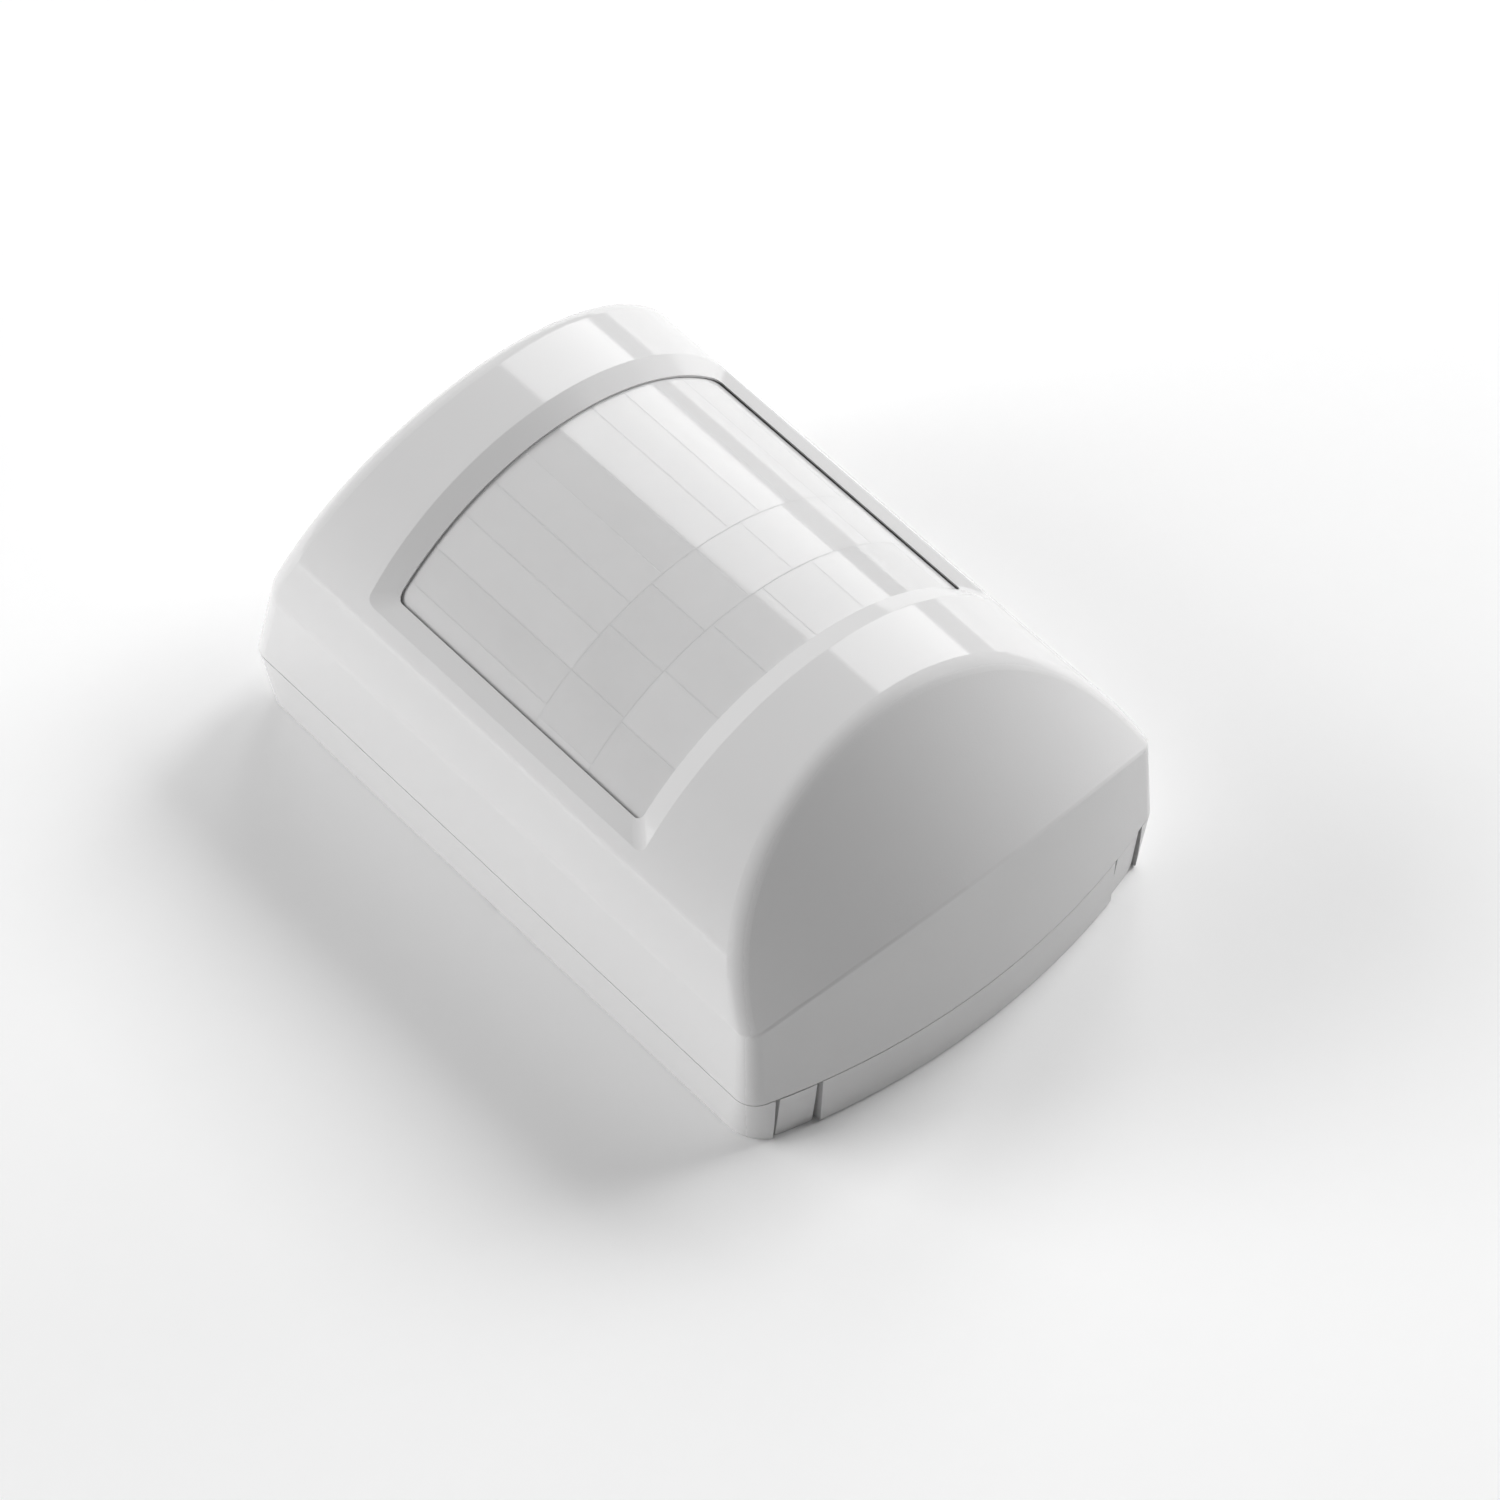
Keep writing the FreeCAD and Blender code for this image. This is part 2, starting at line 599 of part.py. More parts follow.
def tab_region(grow, z1):
    """The strip of the bottom wall and floor that one latch tab takes up, on the +X side."""
    x0 = TAB_SLITS[0] + SLIT_WIDTH / 2 - grow
    x1 = TAB_SLITS[1] - SLIT_WIDTH / 2 + grow
    return box(x0, x1, -REACH, TAB_PIVOT_Y + min(grow, TAB_PIVOT_GAP), -SPARE, z1)


def latch_tab():
    """One springy tab: an L of wall and floor, with a nose that reaches up inside the cover."""
    insets = (TAB_INSET_BACK, TAB_INSET_TOP)
    top = TAB_TOP_Z
    strip = tab_region(0, top)
    wall = tray_ring(0, TAB_THICKNESS, 0, top, *insets).common(strip)
    foot = tray_plan(TAB_FOOT_INSET, TAB_FOOT_BOTTOM, TAB_FOOT_TOP, *insets).common(strip)
    stem_inner = TAB_STEM_INSET + TAB_STEM_THICKNESS
    shelf = tray_ring(TAB_FOOT_INSET, stem_inner, top - TAB_SHELF_THICKNESS, top, *insets).common(strip)
    stem = cover_ring(TAB_STEM_INSET, stem_inner, top - MERGE, top + TAB_STEM_HEIGHT)
    nose = cover_ring(TAB_STEM_INSET - TAB_NOSE_REACH, TAB_STEM_INSET + MERGE,
                      top + TAB_NOSE_Z[0], top + TAB_NOSE_Z[1])
    upper = fuse([stem, nose]).common(tab_region(-TAB_UPPER_SIDE_GAP, SHOULDER_Z))
    return fuse([wall, foot, shelf, upper])


def tray_lip(top):
    """The low lip along the sides and bottom end that stands inside the cover."""
    inset = COVER_WALL + LIP_GAP
    root = tray_ring(TRAY_WALL - LIP_BITE, inset + LIP_THICKNESS, top - LIP_ROOT, top)
    stand = cover_ring(inset, inset + LIP_THICKNESS, top - MERGE, top + LIP_HEIGHT)
    lip = fuse([root, stand])
    lip = lip.cut(box(-REACH, REACH, BOARD_FAR_Y, REACH, -SPARE, SHOULDER_Z))
    for side in (-1, 1):
        lip = lip.cut(block(side * TAB_X, -REACH, LIP_TAB_CLEARANCE, REACH + TAB_PIVOT_Y, -SPARE, SHOULDER_Z))
    return lip


def rear_housing():
    """The shallow tray that fixes to the wall."""
    top = SEAM_Z - SEAM_GAP / 2
    outer = tray_plan(0, 0, top)
    outer = outer.makeFillet(TRAY_BOTTOM_FILLET, edges_below(outer, SPARE))
    body = [outer.cut(tray_plan(TRAY_WALL, TRAY_FLOOR, top + SPARE)), tray_lip(top)]
    for x, y in BOARD_POSTS:
        body.append(post(BOARD_POST_RADIUS, x, y, TRAY_FLOOR - MERGE, BOARD_BACK_Z))
    wall_holes = (WALL_HOLE_NEAR_Y, WALL_HOLE_FAR_Y)
    for y in wall_holes:
        body.append(post(WALL_BOSS_RADIUS, 0, y, TRAY_FLOOR - MERGE, BOARD_BACK_Z - WALL_BOSS_DROP))
    whole = fuse(body)
    for y in wall_holes:
        whole = whole.cut(post(WALL_HOLE_RADIUS, 0, y, -SPARE, BOARD_TOP_Z))
    screw_x, screw_y = BOARD_POSTS[0]
    whole = whole.cut(post(SCREW_HOLE_RADIUS, screw_x, screw_y, TRAY_FLOOR - SCREW_HOLE_DEPTH, BOARD_TOP_Z))
    slits = tab_region(SLIT_WIDTH, REACH)
    whole = whole.cut(slits).cut(mirror_x(slits))
    for side in (-1, 1):
        whole = whole.cut(box(side * HOOK_X - POCKET_HALF, side * HOOK_X + POCKET_HALF, *POCKET_Y, *POCKET_Z))
    return whole.cut(box(-WIRE_ENTRY_HALF, WIRE_ENTRY_HALF, *WIRE_ENTRY_Y, WIRE_ENTRY_SKIN, BOARD_BACK_Z))


def lead_places():
    """The three leads of the detector, on a circle."""
    places = []
    for angle in LEAD_ANGLES:
        turn = math.radians(angle)
        places.append((LEAD_CIRCLE * math.cos(turn), DETECTOR_Y + LEAD_CIRCLE * math.sin(turn)))
    return places


def circuit_board():
    """The board, with holes for the wall screws' heads, the board screw and the detector's leads."""
    board = box(-BOARD_HALF, BOARD_HALF, BOARD_NEAR_Y, BOARD_FAR_Y, BOARD_BACK_Z, BOARD_TOP_Z)
    board = board.makeFillet(BOARD_CORNER, upright(board))
    holes = [(HEAD_HOLE_RADIUS, 0, WALL_HOLE_NEAR_Y), (HEAD_HOLE_RADIUS, 0, WALL_HOLE_FAR_Y)]
    holes.append((SCREW_CLEARANCE_RADIUS, *BOARD_POSTS[0]))
    holes += [(LEAD_HOLE_RADIUS, x, y) for x, y in lead_places()]
    for radius, x, y in holes:
        board = board.cut(post(radius, x, y, 0, SEAM_Z))
    return board


def board_screw():
    """The pan-head screw that holds the board to its post."""
    x, y = BOARD_POSTS[0]
    bottom = TRAY_FLOOR - SCREW_HOLE_DEPTH + MERGE
    shank = post(SCREW_SHANK_RADIUS, x, y, bottom, BOARD_TOP_Z + MERGE)
    head = post(SCREW_HEAD_RADIUS, x, y, BOARD_TOP_Z, BOARD_TOP_Z + SCREW_HEAD_HEIGHT)
    head = head.makeFillet(SCREW_HEAD_FILLET, edges_above(head, BOARD_TOP_Z + SCREW_HEAD_HEIGHT / 2))
    screw = fuse([shank, head])
    long_half, short_half = SCREW_SLOT_HALF
    slot_floor = BOARD_TOP_Z + SCREW_SLOT_FLOOR
    screw = screw.cut(block(x, y, long_half, short_half, slot_floor, SEAM_Z))
    return screw.cut(block(x, y, short_half, long_half, slot_floor, SEAM_Z))


def detector():
    """The pyroelectric detector: spacer, can with a square opening, filter window and leads."""
    seat = BOARD_TOP_Z + SPACER_HEIGHT
    top = seat + CAN_HEIGHT
    spacer = post(SPACER_RADIUS, 0, DETECTOR_Y, BOARD_TOP_Z, seat)
    flange = post(CAN_FLANGE_RADIUS, 0, DETECTOR_Y, seat, seat + CAN_FLANGE_HEIGHT)
    can = post(CAN_RADIUS, 0, DETECTOR_Y, seat + CAN_FLANGE_HEIGHT - MERGE, top)
    can = can.makeFillet(CAN_FILLET, edges_above(can, top - MERGE))
    opening = block(0, DETECTOR_Y, *FILTER_HALF, top - FILTER_DEPTH, top + SPARE)
    window = block(0, DETECTOR_Y, *FILTER_HALF, top - FILTER_DEPTH, top - FILTER_SUNK)
    leads = []
    for x, y in lead_places():
        leads.append(post(LEAD_RADIUS, x, y, LEAD_BOTTOM_Z, seat))
        spacer = spacer.cut(post(LEAD_HOLE_RADIUS, x, y, 0, SHOULDER_Z))
    return {
        "sensor_spacer": spacer,
        "sensor_can": fuse([flange, can]).cut(opening),
        "sensor_window": window,
        "sensor_leads": Part.makeCompound(leads),
    }


def status_led():
    """A small round indicator lamp."""
    flange = post(LED_FLANGE_RADIUS, LED_X, LED_Y, BOARD_TOP_Z, BOARD_TOP_Z + LED_FLANGE_HEIGHT)
    dome_z = BOARD_TOP_Z + LED_DOME_HEIGHT
    barrel = post(LED_RADIUS, LED_X, LED_Y, BOARD_TOP_Z + LED_FLANGE_HEIGHT - MERGE, dome_z)
    return fuse([flange, barrel, Part.makeSphere(LED_RADIUS, V(LED_X, LED_Y, dome_z))])


def coil_spring(radius, wire, pitch, height):
    """A round-wire helix along Z that starts at the origin."""
    path = Part.Wire(Part.makeHelix(pitch, height, radius))
    section = Part.Wire(Part.makeCircle(wire, V(radius, 0, 0), Y_AXIS))
    return path.makePipeShell([section], True, True)


def tamper_switch():
    """The tamper switch: body, sprung plunger and its spring."""
    x, y = TAMPER_X, TAMPER_Y
    body = block(x, y, TAMPER_HALF, TAMPER_HALF, BOARD_TOP_Z, TAMPER_BODY_TOP_Z)
    body = body.cut(post(TAMPER_BORE_RADIUS, x, y, BOARD_TOP_Z + TAMPER_BORE_FLOOR, SHOULDER_Z))
    cap_z = TAMPER_TIP_Z - TAMPER_CAP_HEIGHT
    stem = post(TAMPER_STEM_RADIUS, x, y, BOARD_TOP_Z + TAMPER_STEM_BOTTOM, cap_z + MERGE)
    cap = post(TAMPER_CAP_RADIUS, x, y, cap_z, TAMPER_TIP_Z)
    cap = cap.makeFillet(TAMPER_CAP_FILLET, edges_above(cap, TAMPER_TIP_Z - MERGE))
    margin = SPRING_WIRE + SPRING_END_GAP
    bottom = TAMPER_BODY_TOP_Z + margin
    height = cap_z - margin - bottom
    spring = coil_spring(SPRING_RADIUS, SPRING_WIRE, height / SPRING_TURNS, height)
    spring.translate(V(x, y, bottom))
    return {"tamper_switch_body": body, "tamper_plunger": fuse([stem, cap]), "tamper_spring": spring}


def pair_button():
    """The push button inside, used when the sensor is paired with its panel."""
    x, y = BUTTON_X, BUTTON_Y
    bore_radius, bore_floor = BUTTON_BORE
    body = block(x, y, BUTTON_HALF, BUTTON_HALF, BOARD_TOP_Z, BOARD_TOP_Z + BUTTON_BODY_HEIGHT)
    body = body.cut(post(bore_radius, x, y, BOARD_TOP_Z + bore_floor, SHOULDER_Z))
    cap = post(BUTTON_CAP_RADIUS, x, y, BOARD_TOP_Z + BUTTON_CAP_Z[0], BOARD_TOP_Z + BUTTON_CAP_Z[1])
    cap = cap.makeFillet(BUTTON_CAP_FILLET, edges_above(cap, BOARD_TOP_Z + BUTTON_CAP_Z[1] - MERGE))
    return {"pair_button_body": body, "pair_button_cap": cap}


def chip(x, y, half_x, half_y, height, pins, pitch, reach):
    """A moulded chip with a row of pins down each long side."""
    z0 = BOARD_TOP_Z + CHIP_LIFT
    parts = [block(x, y, half_x, half_y, z0, z0 + height)]
    for i in range(pins):
        pin_y = y + (i - (pins - 1) / 2) * pitch
        for side in (-1, 1):
            pin_x = x + side * (half_x + (reach - MERGE) / 2)
            half_pin = (reach + MERGE) / 2
            parts.append(block(pin_x, pin_y, half_pin, PIN_HALF_WIDTH, BOARD_TOP_Z, BOARD_TOP_Z + PIN_HEIGHT))
    return fuse(parts)


def radio():
    """The small radio board and the metal can over its circuit."""
    board_top = BOARD_TOP_Z + RADIO_BOARD_HEIGHT
    board = box(*RADIO_X, *RADIO_Y, BOARD_TOP_Z, board_top)
    x0, x1 = RADIO_X[0] + RADIO_CAN_MARGIN, RADIO_X[1] - RADIO_PAD_MARGIN
    y0, y1 = RADIO_Y[0] + RADIO_CAN_MARGIN, RADIO_Y[1] - RADIO_CAN_MARGIN
    can = box(x0, x1, y0, y1, board_top, board_top + RADIO_CAN_HEIGHT)
    can = can.makeFillet(RADIO_CAN_CORNER, upright(can))
    wall = RADIO_CAN_WALL
    can_top = board_top + RADIO_CAN_HEIGHT
    can = can.cut(box(x0 + wall, x1 - wall, y0 + wall, y1 - wall, board_top, can_top - wall))
    return {"radio_module": board, "radio_shield": can}


def antenna_coil():
    """The wire antenna: a close helix along X near the top end of the board."""
    coil = coil_spring(COIL_RADIUS, COIL_WIRE, COIL_PITCH, COIL_PITCH * COIL_TURNS)
    coil.rotate(V(0, 0, 0), Y_AXIS, 90)
    coil.translate(V(COIL_START_X, COIL_Y, BOARD_TOP_Z + COIL_RADIUS + COIL_WIRE + COIL_LIFT))
    return coil


def electrolytics():
    """Three upright capacitors."""
    cans = []
    for x, y, radius, height in ELECTROLYTICS:
        can = post(radius, x, y, BOARD_TOP_Z, BOARD_TOP_Z + height)
        rims = edges_above(can, BOARD_TOP_Z + MERGE) + edges_below(can, BOARD_TOP_Z + MERGE)
        cans.append(can.makeFillet(ELECTROLYTIC_FILLET, rims))
    return Part.makeCompound(cans)


def small_parts():
    """The chip resistors and capacitors round the detector and the controller."""
    top = BOARD_TOP_Z + SMALL_PART_HEIGHT
    half_long, half_short = SMALL_PART_LENGTH / 2, SMALL_PART_WIDTH / 2
    pieces = []
    for i in range(6):
        pieces.append(block(-4.05 + 1.9 * i, 17.85, half_short, half_long, BOARD_TOP_Z, top))
    for x in (-8.55, 8.85):
        for i in range(5):
            pieces.append(block(x, -2.95 + 2.0 * i, half_long, half_short, BOARD_TOP_Z, top))
    return Part.makeCompound(pieces)


def jumper():
    """Two-pin header and its removable shorting cap."""
    x, y = JUMPER_X, JUMPER_Y
    header_top = BOARD_TOP_Z + JUMPER_HEADER_HEIGHT
    parts = [block(x, y, PIN_PITCH, PIN_PITCH / 2, BOARD_TOP_Z, header_top)]
    for side in (-1, 1):
        pin_x = x + side * PIN_PITCH / 2
        parts.append(block(pin_x, y, JUMPER_PIN_HALF, JUMPER_PIN_HALF, header_top - MERGE,
                           BOARD_TOP_Z + JUMPER_PIN_TOP))
    cap_z0, cap_z1 = JUMPER_CAP_Z
    cap = block(x, y, *JUMPER_CAP_HALF, BOARD_TOP_Z + cap_z0, BOARD_TOP_Z + cap_z1)
    bore = block(x, y, *JUMPER_CAP_BORE_HALF, BOARD_TOP_Z, BOARD_TOP_Z + cap_z1 - JUMPER_CAP_ROOF)
    return {"jumper_header": fuse(parts), "jumper_cap": cap.cut(bore)}


def battery_cell():
    """The lithium cell, with its small positive cap at the +X end."""
    length = 2 * CELL_HALF - CELL_CAP_HEIGHT
    cell = Part.makeCylinder(CELL_RADIUS, length, V(-CELL_HALF, CELL_Y, CELL_Z), X_AXIS)
    ends = [edge for edge in cell.Edges if edge.BoundBox.XLength < MERGE]
    cell = cell.makeFillet(CELL_FILLET, ends)
    cap_start = V(CELL_HALF - CELL_CAP_HEIGHT - MERGE, CELL_Y, CELL_Z)
    return fuse([cell, Part.makeCylinder(CELL_CAP_RADIUS, CELL_CAP_HEIGHT + MERGE, cap_start, X_AXIS)])


def battery_holder():
    """The cradle under the cell, open at the bottom of its trough."""
    half = CELL_HALF + HOLDER_END
    room = CELL_HALF + HOLDER_END_ROOM
    cradle = block(0, CELL_Y, half, HOLDER_HALF_Y, BOARD_TOP_Z, CELL_Z - HOLDER_RIM_DROP)
    trough = Part.makeCylinder(CELL_RADIUS + HOLDER_CELL_GAP, 2 * room, V(-room, CELL_Y, CELL_Z), X_AXIS)
    well = block(0, CELL_Y, room, HOLDER_WELL_HALF_Y, CELL_Z - HOLDER_WELL_DEPTH, CELL_Z)
    return cradle.cut(trough).cut(well)


def battery_contacts():
    """The flat positive contact and the negative contact with its pressed bump."""
    z0, z1 = CELL_Z + CONTACT_Z[0], CELL_Z + CONTACT_Z[1]
    half = CONTACT_THICKNESS / 2
    positive = block(CELL_HALF + CONTACT_GAP + half, CELL_Y, half, CONTACT_HALF_Y, z0, z1)
    foot_radius, tip_radius, height = CONTACT_BUMP
    face_x = -CELL_HALF - CONTACT_GAP / 2 - height
    plate = block(face_x - half, CELL_Y, half, CONTACT_HALF_Y, z0, z1)
    bump = Part.makeCone(foot_radius, tip_radius, height + MERGE / 2,
                         V(face_x - MERGE / 2, CELL_Y, CELL_Z), X_AXIS)
    return {"battery_contact_positive": positive, "battery_contact_negative": fuse([plate, bump])}


def build():
    """Every piece of the sensor, by name."""
    nodes = {
        "front_cover": front_cover(),
        "fresnel_lens": fresnel_lens(),
        "lens_retainer": lens_retainer(),
        "rear_housing": rear_housing(),
        "latch_tab_right": latch_tab(),
        "circuit_board": circuit_board(),
        "board_screw": board_screw(),
        "status_led": status_led(),
        "controller_chip": chip(-15.5, 5.0, 3.6, 4.6, 1.4, 8, 1.1, 1.1),
        "crystal": chip(-16.0, -3.0, 2.4, 1.2, 1.2, 1, 1.0, 0.4),
        "antenna_coil": antenna_coil(),
        "electrolytic_capacitors": electrolytics(),
        "chip_components": small_parts(),
        "battery": battery_cell(),
        "battery_holder": battery_holder(),
    }
    nodes["latch_tab_left"] = mirror_x(nodes["latch_tab_right"])
    for group in (detector(), tamper_switch(), pair_button(), radio(), jumper(), battery_contacts()):
        nodes.update(group)
    return nodes


os.makedirs("parts", exist_ok=True)
for name, shape in build().items():
    shape.exportStep(os.path.join("parts", name + ".step"))
    print(name, "valid", shape.isValid(), "solids", len(shape.Solids), "volume", round(shape.Volume, 1))
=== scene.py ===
import math
import random

import bmesh
import bpy
from mathutils import Matrix, Vector


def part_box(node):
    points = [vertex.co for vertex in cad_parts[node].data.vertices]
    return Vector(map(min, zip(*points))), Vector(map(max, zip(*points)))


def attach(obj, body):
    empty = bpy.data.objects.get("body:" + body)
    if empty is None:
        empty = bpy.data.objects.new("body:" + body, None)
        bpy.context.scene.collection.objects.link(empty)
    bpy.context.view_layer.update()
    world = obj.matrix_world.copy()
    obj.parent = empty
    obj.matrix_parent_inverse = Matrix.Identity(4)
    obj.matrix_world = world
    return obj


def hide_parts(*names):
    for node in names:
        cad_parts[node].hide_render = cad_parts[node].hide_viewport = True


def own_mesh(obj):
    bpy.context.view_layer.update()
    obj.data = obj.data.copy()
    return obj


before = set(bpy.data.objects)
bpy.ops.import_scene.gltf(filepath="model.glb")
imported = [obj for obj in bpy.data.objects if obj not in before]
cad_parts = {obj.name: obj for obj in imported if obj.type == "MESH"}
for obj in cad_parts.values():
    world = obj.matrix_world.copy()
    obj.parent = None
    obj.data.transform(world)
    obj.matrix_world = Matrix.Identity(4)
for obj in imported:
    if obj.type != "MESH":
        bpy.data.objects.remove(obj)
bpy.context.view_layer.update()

MM = 0.001

# Camera: the photograph's viewing angle
CAMERA_AZIMUTH = math.radians(-42.3)    # 0 looks along +Y, positive turns towards +X
CAMERA_ELEVATION = math.radians(53.5)
CAMERA_ROLL = math.radians(-0.5)
CAMERA_DISTANCE = 747.5 * MM
CAMERA_TARGET = Vector((5.3, -0.4, 1.65)) * MM
CAMERA_LENS = 156.0                     # focal length, with the sensor's width below, in mm
CAMERA_SENSOR = 36.0
CAMERA_NEAR = 0.05
CAMERA_FAR = 20.0

# Lights: name, place, aim, width, height, power in watts, and whether glossy surfaces mirror it
LIGHTS = [
    ("strip_box", (0.78, 0.57, 0.59), (0.0, 0.0, 0.03), 0.87, 0.36, 2.94, True),
    ("back_left", (-0.8, 0.8, 0.60), (0.0, 0.0, 0.02), 0.8, 0.5, 7.8, False),
    ("left_back_low", (-1.0, 0.6, 0.20), (0.0, 0.0, 0.02), 0.8, 0.3, 6.6, False),
    ("right_high", (0.9, -0.1, 0.85), (0.0, 0.0, 0.02), 0.8, 0.5, 10.3, False),
    ("right_low", (1.2, -0.1, 0.25), (0.0, 0.0, 0.02), 0.8, 0.4, 5.2, False),
]
WORLD_STRENGTH = 0.14
FLOOR_ALBEDO = 0.95
FLOOR_FLECK = 0.004       # how far the paper's fibres drift from that
FLOOR_REACH = 8.0

EVEN = (1.0, 1.0, 1.0)    # noise that isn't stretched

# Colours
WHITE_CASE = (0.637, 0.634, 0.635)
WHITE_INNER = (0.64, 0.635, 0.62)
FILM = (0.627, 0.624, 0.625)
MASK_GREEN = (0.012, 0.115, 0.045)
TRACK_GREEN = (0.03, 0.21, 0.085)
PLANE_GREEN = (0.018, 0.135, 0.054)
STEEL = (0.66, 0.65, 0.63)
TIN = (0.72, 0.72, 0.70)
BLACK = (0.022, 0.022, 0.024)
COPPER = (0.62, 0.27, 0.12)
WRAP = (0.035, 0.05, 0.10)
SLEEVE = (0.02, 0.025, 0.05)
STRIPE = (0.42, 0.44, 0.47)
CERAMIC = (0.30, 0.21, 0.13)
RESISTOR = (0.03, 0.03, 0.035)
LAMP_RED = (0.75, 0.03, 0.02)
FILTER_VIOLET = (0.035, 0.022, 0.05)
FILTER_BROWN = (0.05, 0.04, 0.035)
BAND_GREY = (0.30, 0.31, 0.33)
RADIO_BLUE = (0.01, 0.05, 0.10)
PRINT_WHITE = (0.72, 0.72, 0.69)
ALUMINIUM = (0.78, 0.78, 0.79)
# painted shade: the dark colour of the capacitors' scored cross, standing in for the shade in its grooves
SCORE_PAINTED_SHADE = (0.25, 0.25, 0.26)

# Lens film. Its rows run from the near end, each (share of the length, a segment's angle, one seam's angle)
LENS_THICKNESS = 0.6 * MM
LENS_ROWS = [
    (0.24, math.radians(13.5), math.radians(-10)),
    (0.20, math.radians(12), 0.0),
    (0.56, math.radians(9), 0.0),
]
LENS_STEPS = (1.1 * MM, 1.6 * MM)    # mesh steps round the film and along it
LENS_TONES = (0.975, 1.0, 1.02)      # the segments catch a little more or less light
LENS_SEED = 7
LENS_CREASE = math.radians(5)
GROOVES = 3                          # the material of the grooved inner side
SEAM_WIDTH = 0.06 * MM
SEAM_DEPTH = 0.012 * MM
LENS_TILT = 0.004 * MM
RING_PITCH = 0.7 * MM
RING_DEPTH = 0.12 * MM

# Tamper spring
COIL_WIRE_RADIUS = 0.2 * MM
COIL_TURNS = 4
COIL_STEPS = 32                      # stretches of wire in each turn
COIL_SIDES = 12
TURNED_CREASE = math.radians(40)

# Board
VIA_PITCH = 5.08 * MM
VIA_RADIUS = 0.25 * MM
WEAVE_RATE = 9000.0                  # radians per metre
TRACK_HEIGHT = 0.02 * MM
TRACK_WIDTH = 0.25 * MM
CHIP_PINS = 8                        # on each side
CHIP_PITCH = 1.1 * MM
CHIP_PIN_REACH = 1.1 * MM
PRINT_MARGIN = 0.45 * MM
PRINT_WIDTH = 0.18 * MM
PRINT_HEIGHT = 0.012 * MM
PARTS_SEED = 11


# --- Scene -------------------------------------------------------------------------------------------

def camera_axes():
    """The camera's right, up and backward directions."""
    sin_a, cos_a = math.sin(CAMERA_AZIMUTH), math.cos(CAMERA_AZIMUTH)
    sin_e, cos_e = math.sin(CAMERA_ELEVATION), math.cos(CAMERA_ELEVATION)
    back = Vector((sin_a * cos_e, -cos_a * cos_e, sin_e))
    right = Vector((cos_a, sin_a, 0.0))
    up = back.cross(right)
    turn = Matrix.Rotation(-CAMERA_ROLL, 3, back)
    return turn @ right, turn @ up, back


def make_camera():
    """The camera, aimed along the photograph's line of sight."""
    right, up, back = camera_axes()
    data = bpy.data.cameras.new("camera")
    data.lens = CAMERA_LENS
    data.sensor_width = CAMERA_SENSOR
    data.clip_start = CAMERA_NEAR
    data.clip_end = CAMERA_FAR
    camera = bpy.data.objects.new("camera", data)
    bpy.context.scene.collection.objects.link(camera)
    axes = Matrix((right, up, back)).transposed().to_4x4()
    camera.matrix_world = Matrix.Translation(CAMERA_TARGET + back * CAMERA_DISTANCE) @ axes
    bpy.context.scene.camera = camera


def area_light(name, place, aim, width, height, power, mirrored):
    """A rectangular soft box at a place, facing a point."""
    data = bpy.data.lights.new(name, "AREA")
    data.shape = "RECTANGLE"
    data.size = width
    data.size_y = height
    data.energy = power
    light = bpy.data.objects.new(name, data)
    bpy.context.scene.collection.objects.link(light)
    back = (Vector(place) - Vector(aim)).normalized()
    # the mirrored box lies square to the film's axis, so that its reflection does too
    level = Vector((0, 1, 0)) if mirrored else Vector((0, 0, 1))
    side = level.cross(back).normalized()
    up = back.cross(side)
    light.matrix_world = Matrix.Translation(Vector(place)) @ Matrix((side, up, back)).transposed().to_4x4()
    light.visible_glossy = mirrored


def make_lights():
    """The soft boxes and a pale surround."""
    for light in LIGHTS:
        area_light(*light)
    make_surround()
    bpy.context.scene.view_settings.view_transform = "Standard"


def make_surround():
    """A plain pale surround that keeps the shadows open."""
    world = bpy.data.worlds.new("studio")
    world.use_nodes = True
    surround = world.node_tree.nodes["Background"]
    surround.inputs["Color"].default_value = (1.0, 1.0, 1.0, 1.0)
    surround.inputs["Strength"].default_value = WORLD_STRENGTH
    bpy.context.scene.world = world


def make_floor():
    """A plain pale sheet under the object."""
    mesh = bpy.data.meshes.new("floor")
    corners = [(x * FLOOR_REACH, y * FLOOR_REACH, 0) for x, y in ((-1, -1), (1, -1), (1, 1), (-1, 1))]
    mesh.from_pydata(corners, [], [(0, 1, 2, 3)])
    floor = bpy.data.objects.new("floor", mesh)
    bpy.context.scene.collection.objects.link(floor)
    look = Look("floor_paper")
    look.shader.inputs["Specular IOR Level"].default_value = 0.1
    fibre = look.noise(300.0, 4.0)
    stops = [(0.3, grey(FLOOR_ALBEDO - FLOOR_FLECK)), (0.7, grey(FLOOR_ALBEDO + FLOOR_FLECK))]
    look.plug(look.ramp(fibre, stops), "Base Color")
    look.plug(look.spread(fibre, 0.85, 0.95), "Roughness")
    mesh.materials.append(look.material)


# --- Material building -------------------------------------------------------------------------------

def grey(value):
    """A neutral colour."""
    return (value, value, value)


def shade(colour, factor):
    """A colour made lighter or darker."""
    return tuple(min(1.0, part * factor) for part in colour)


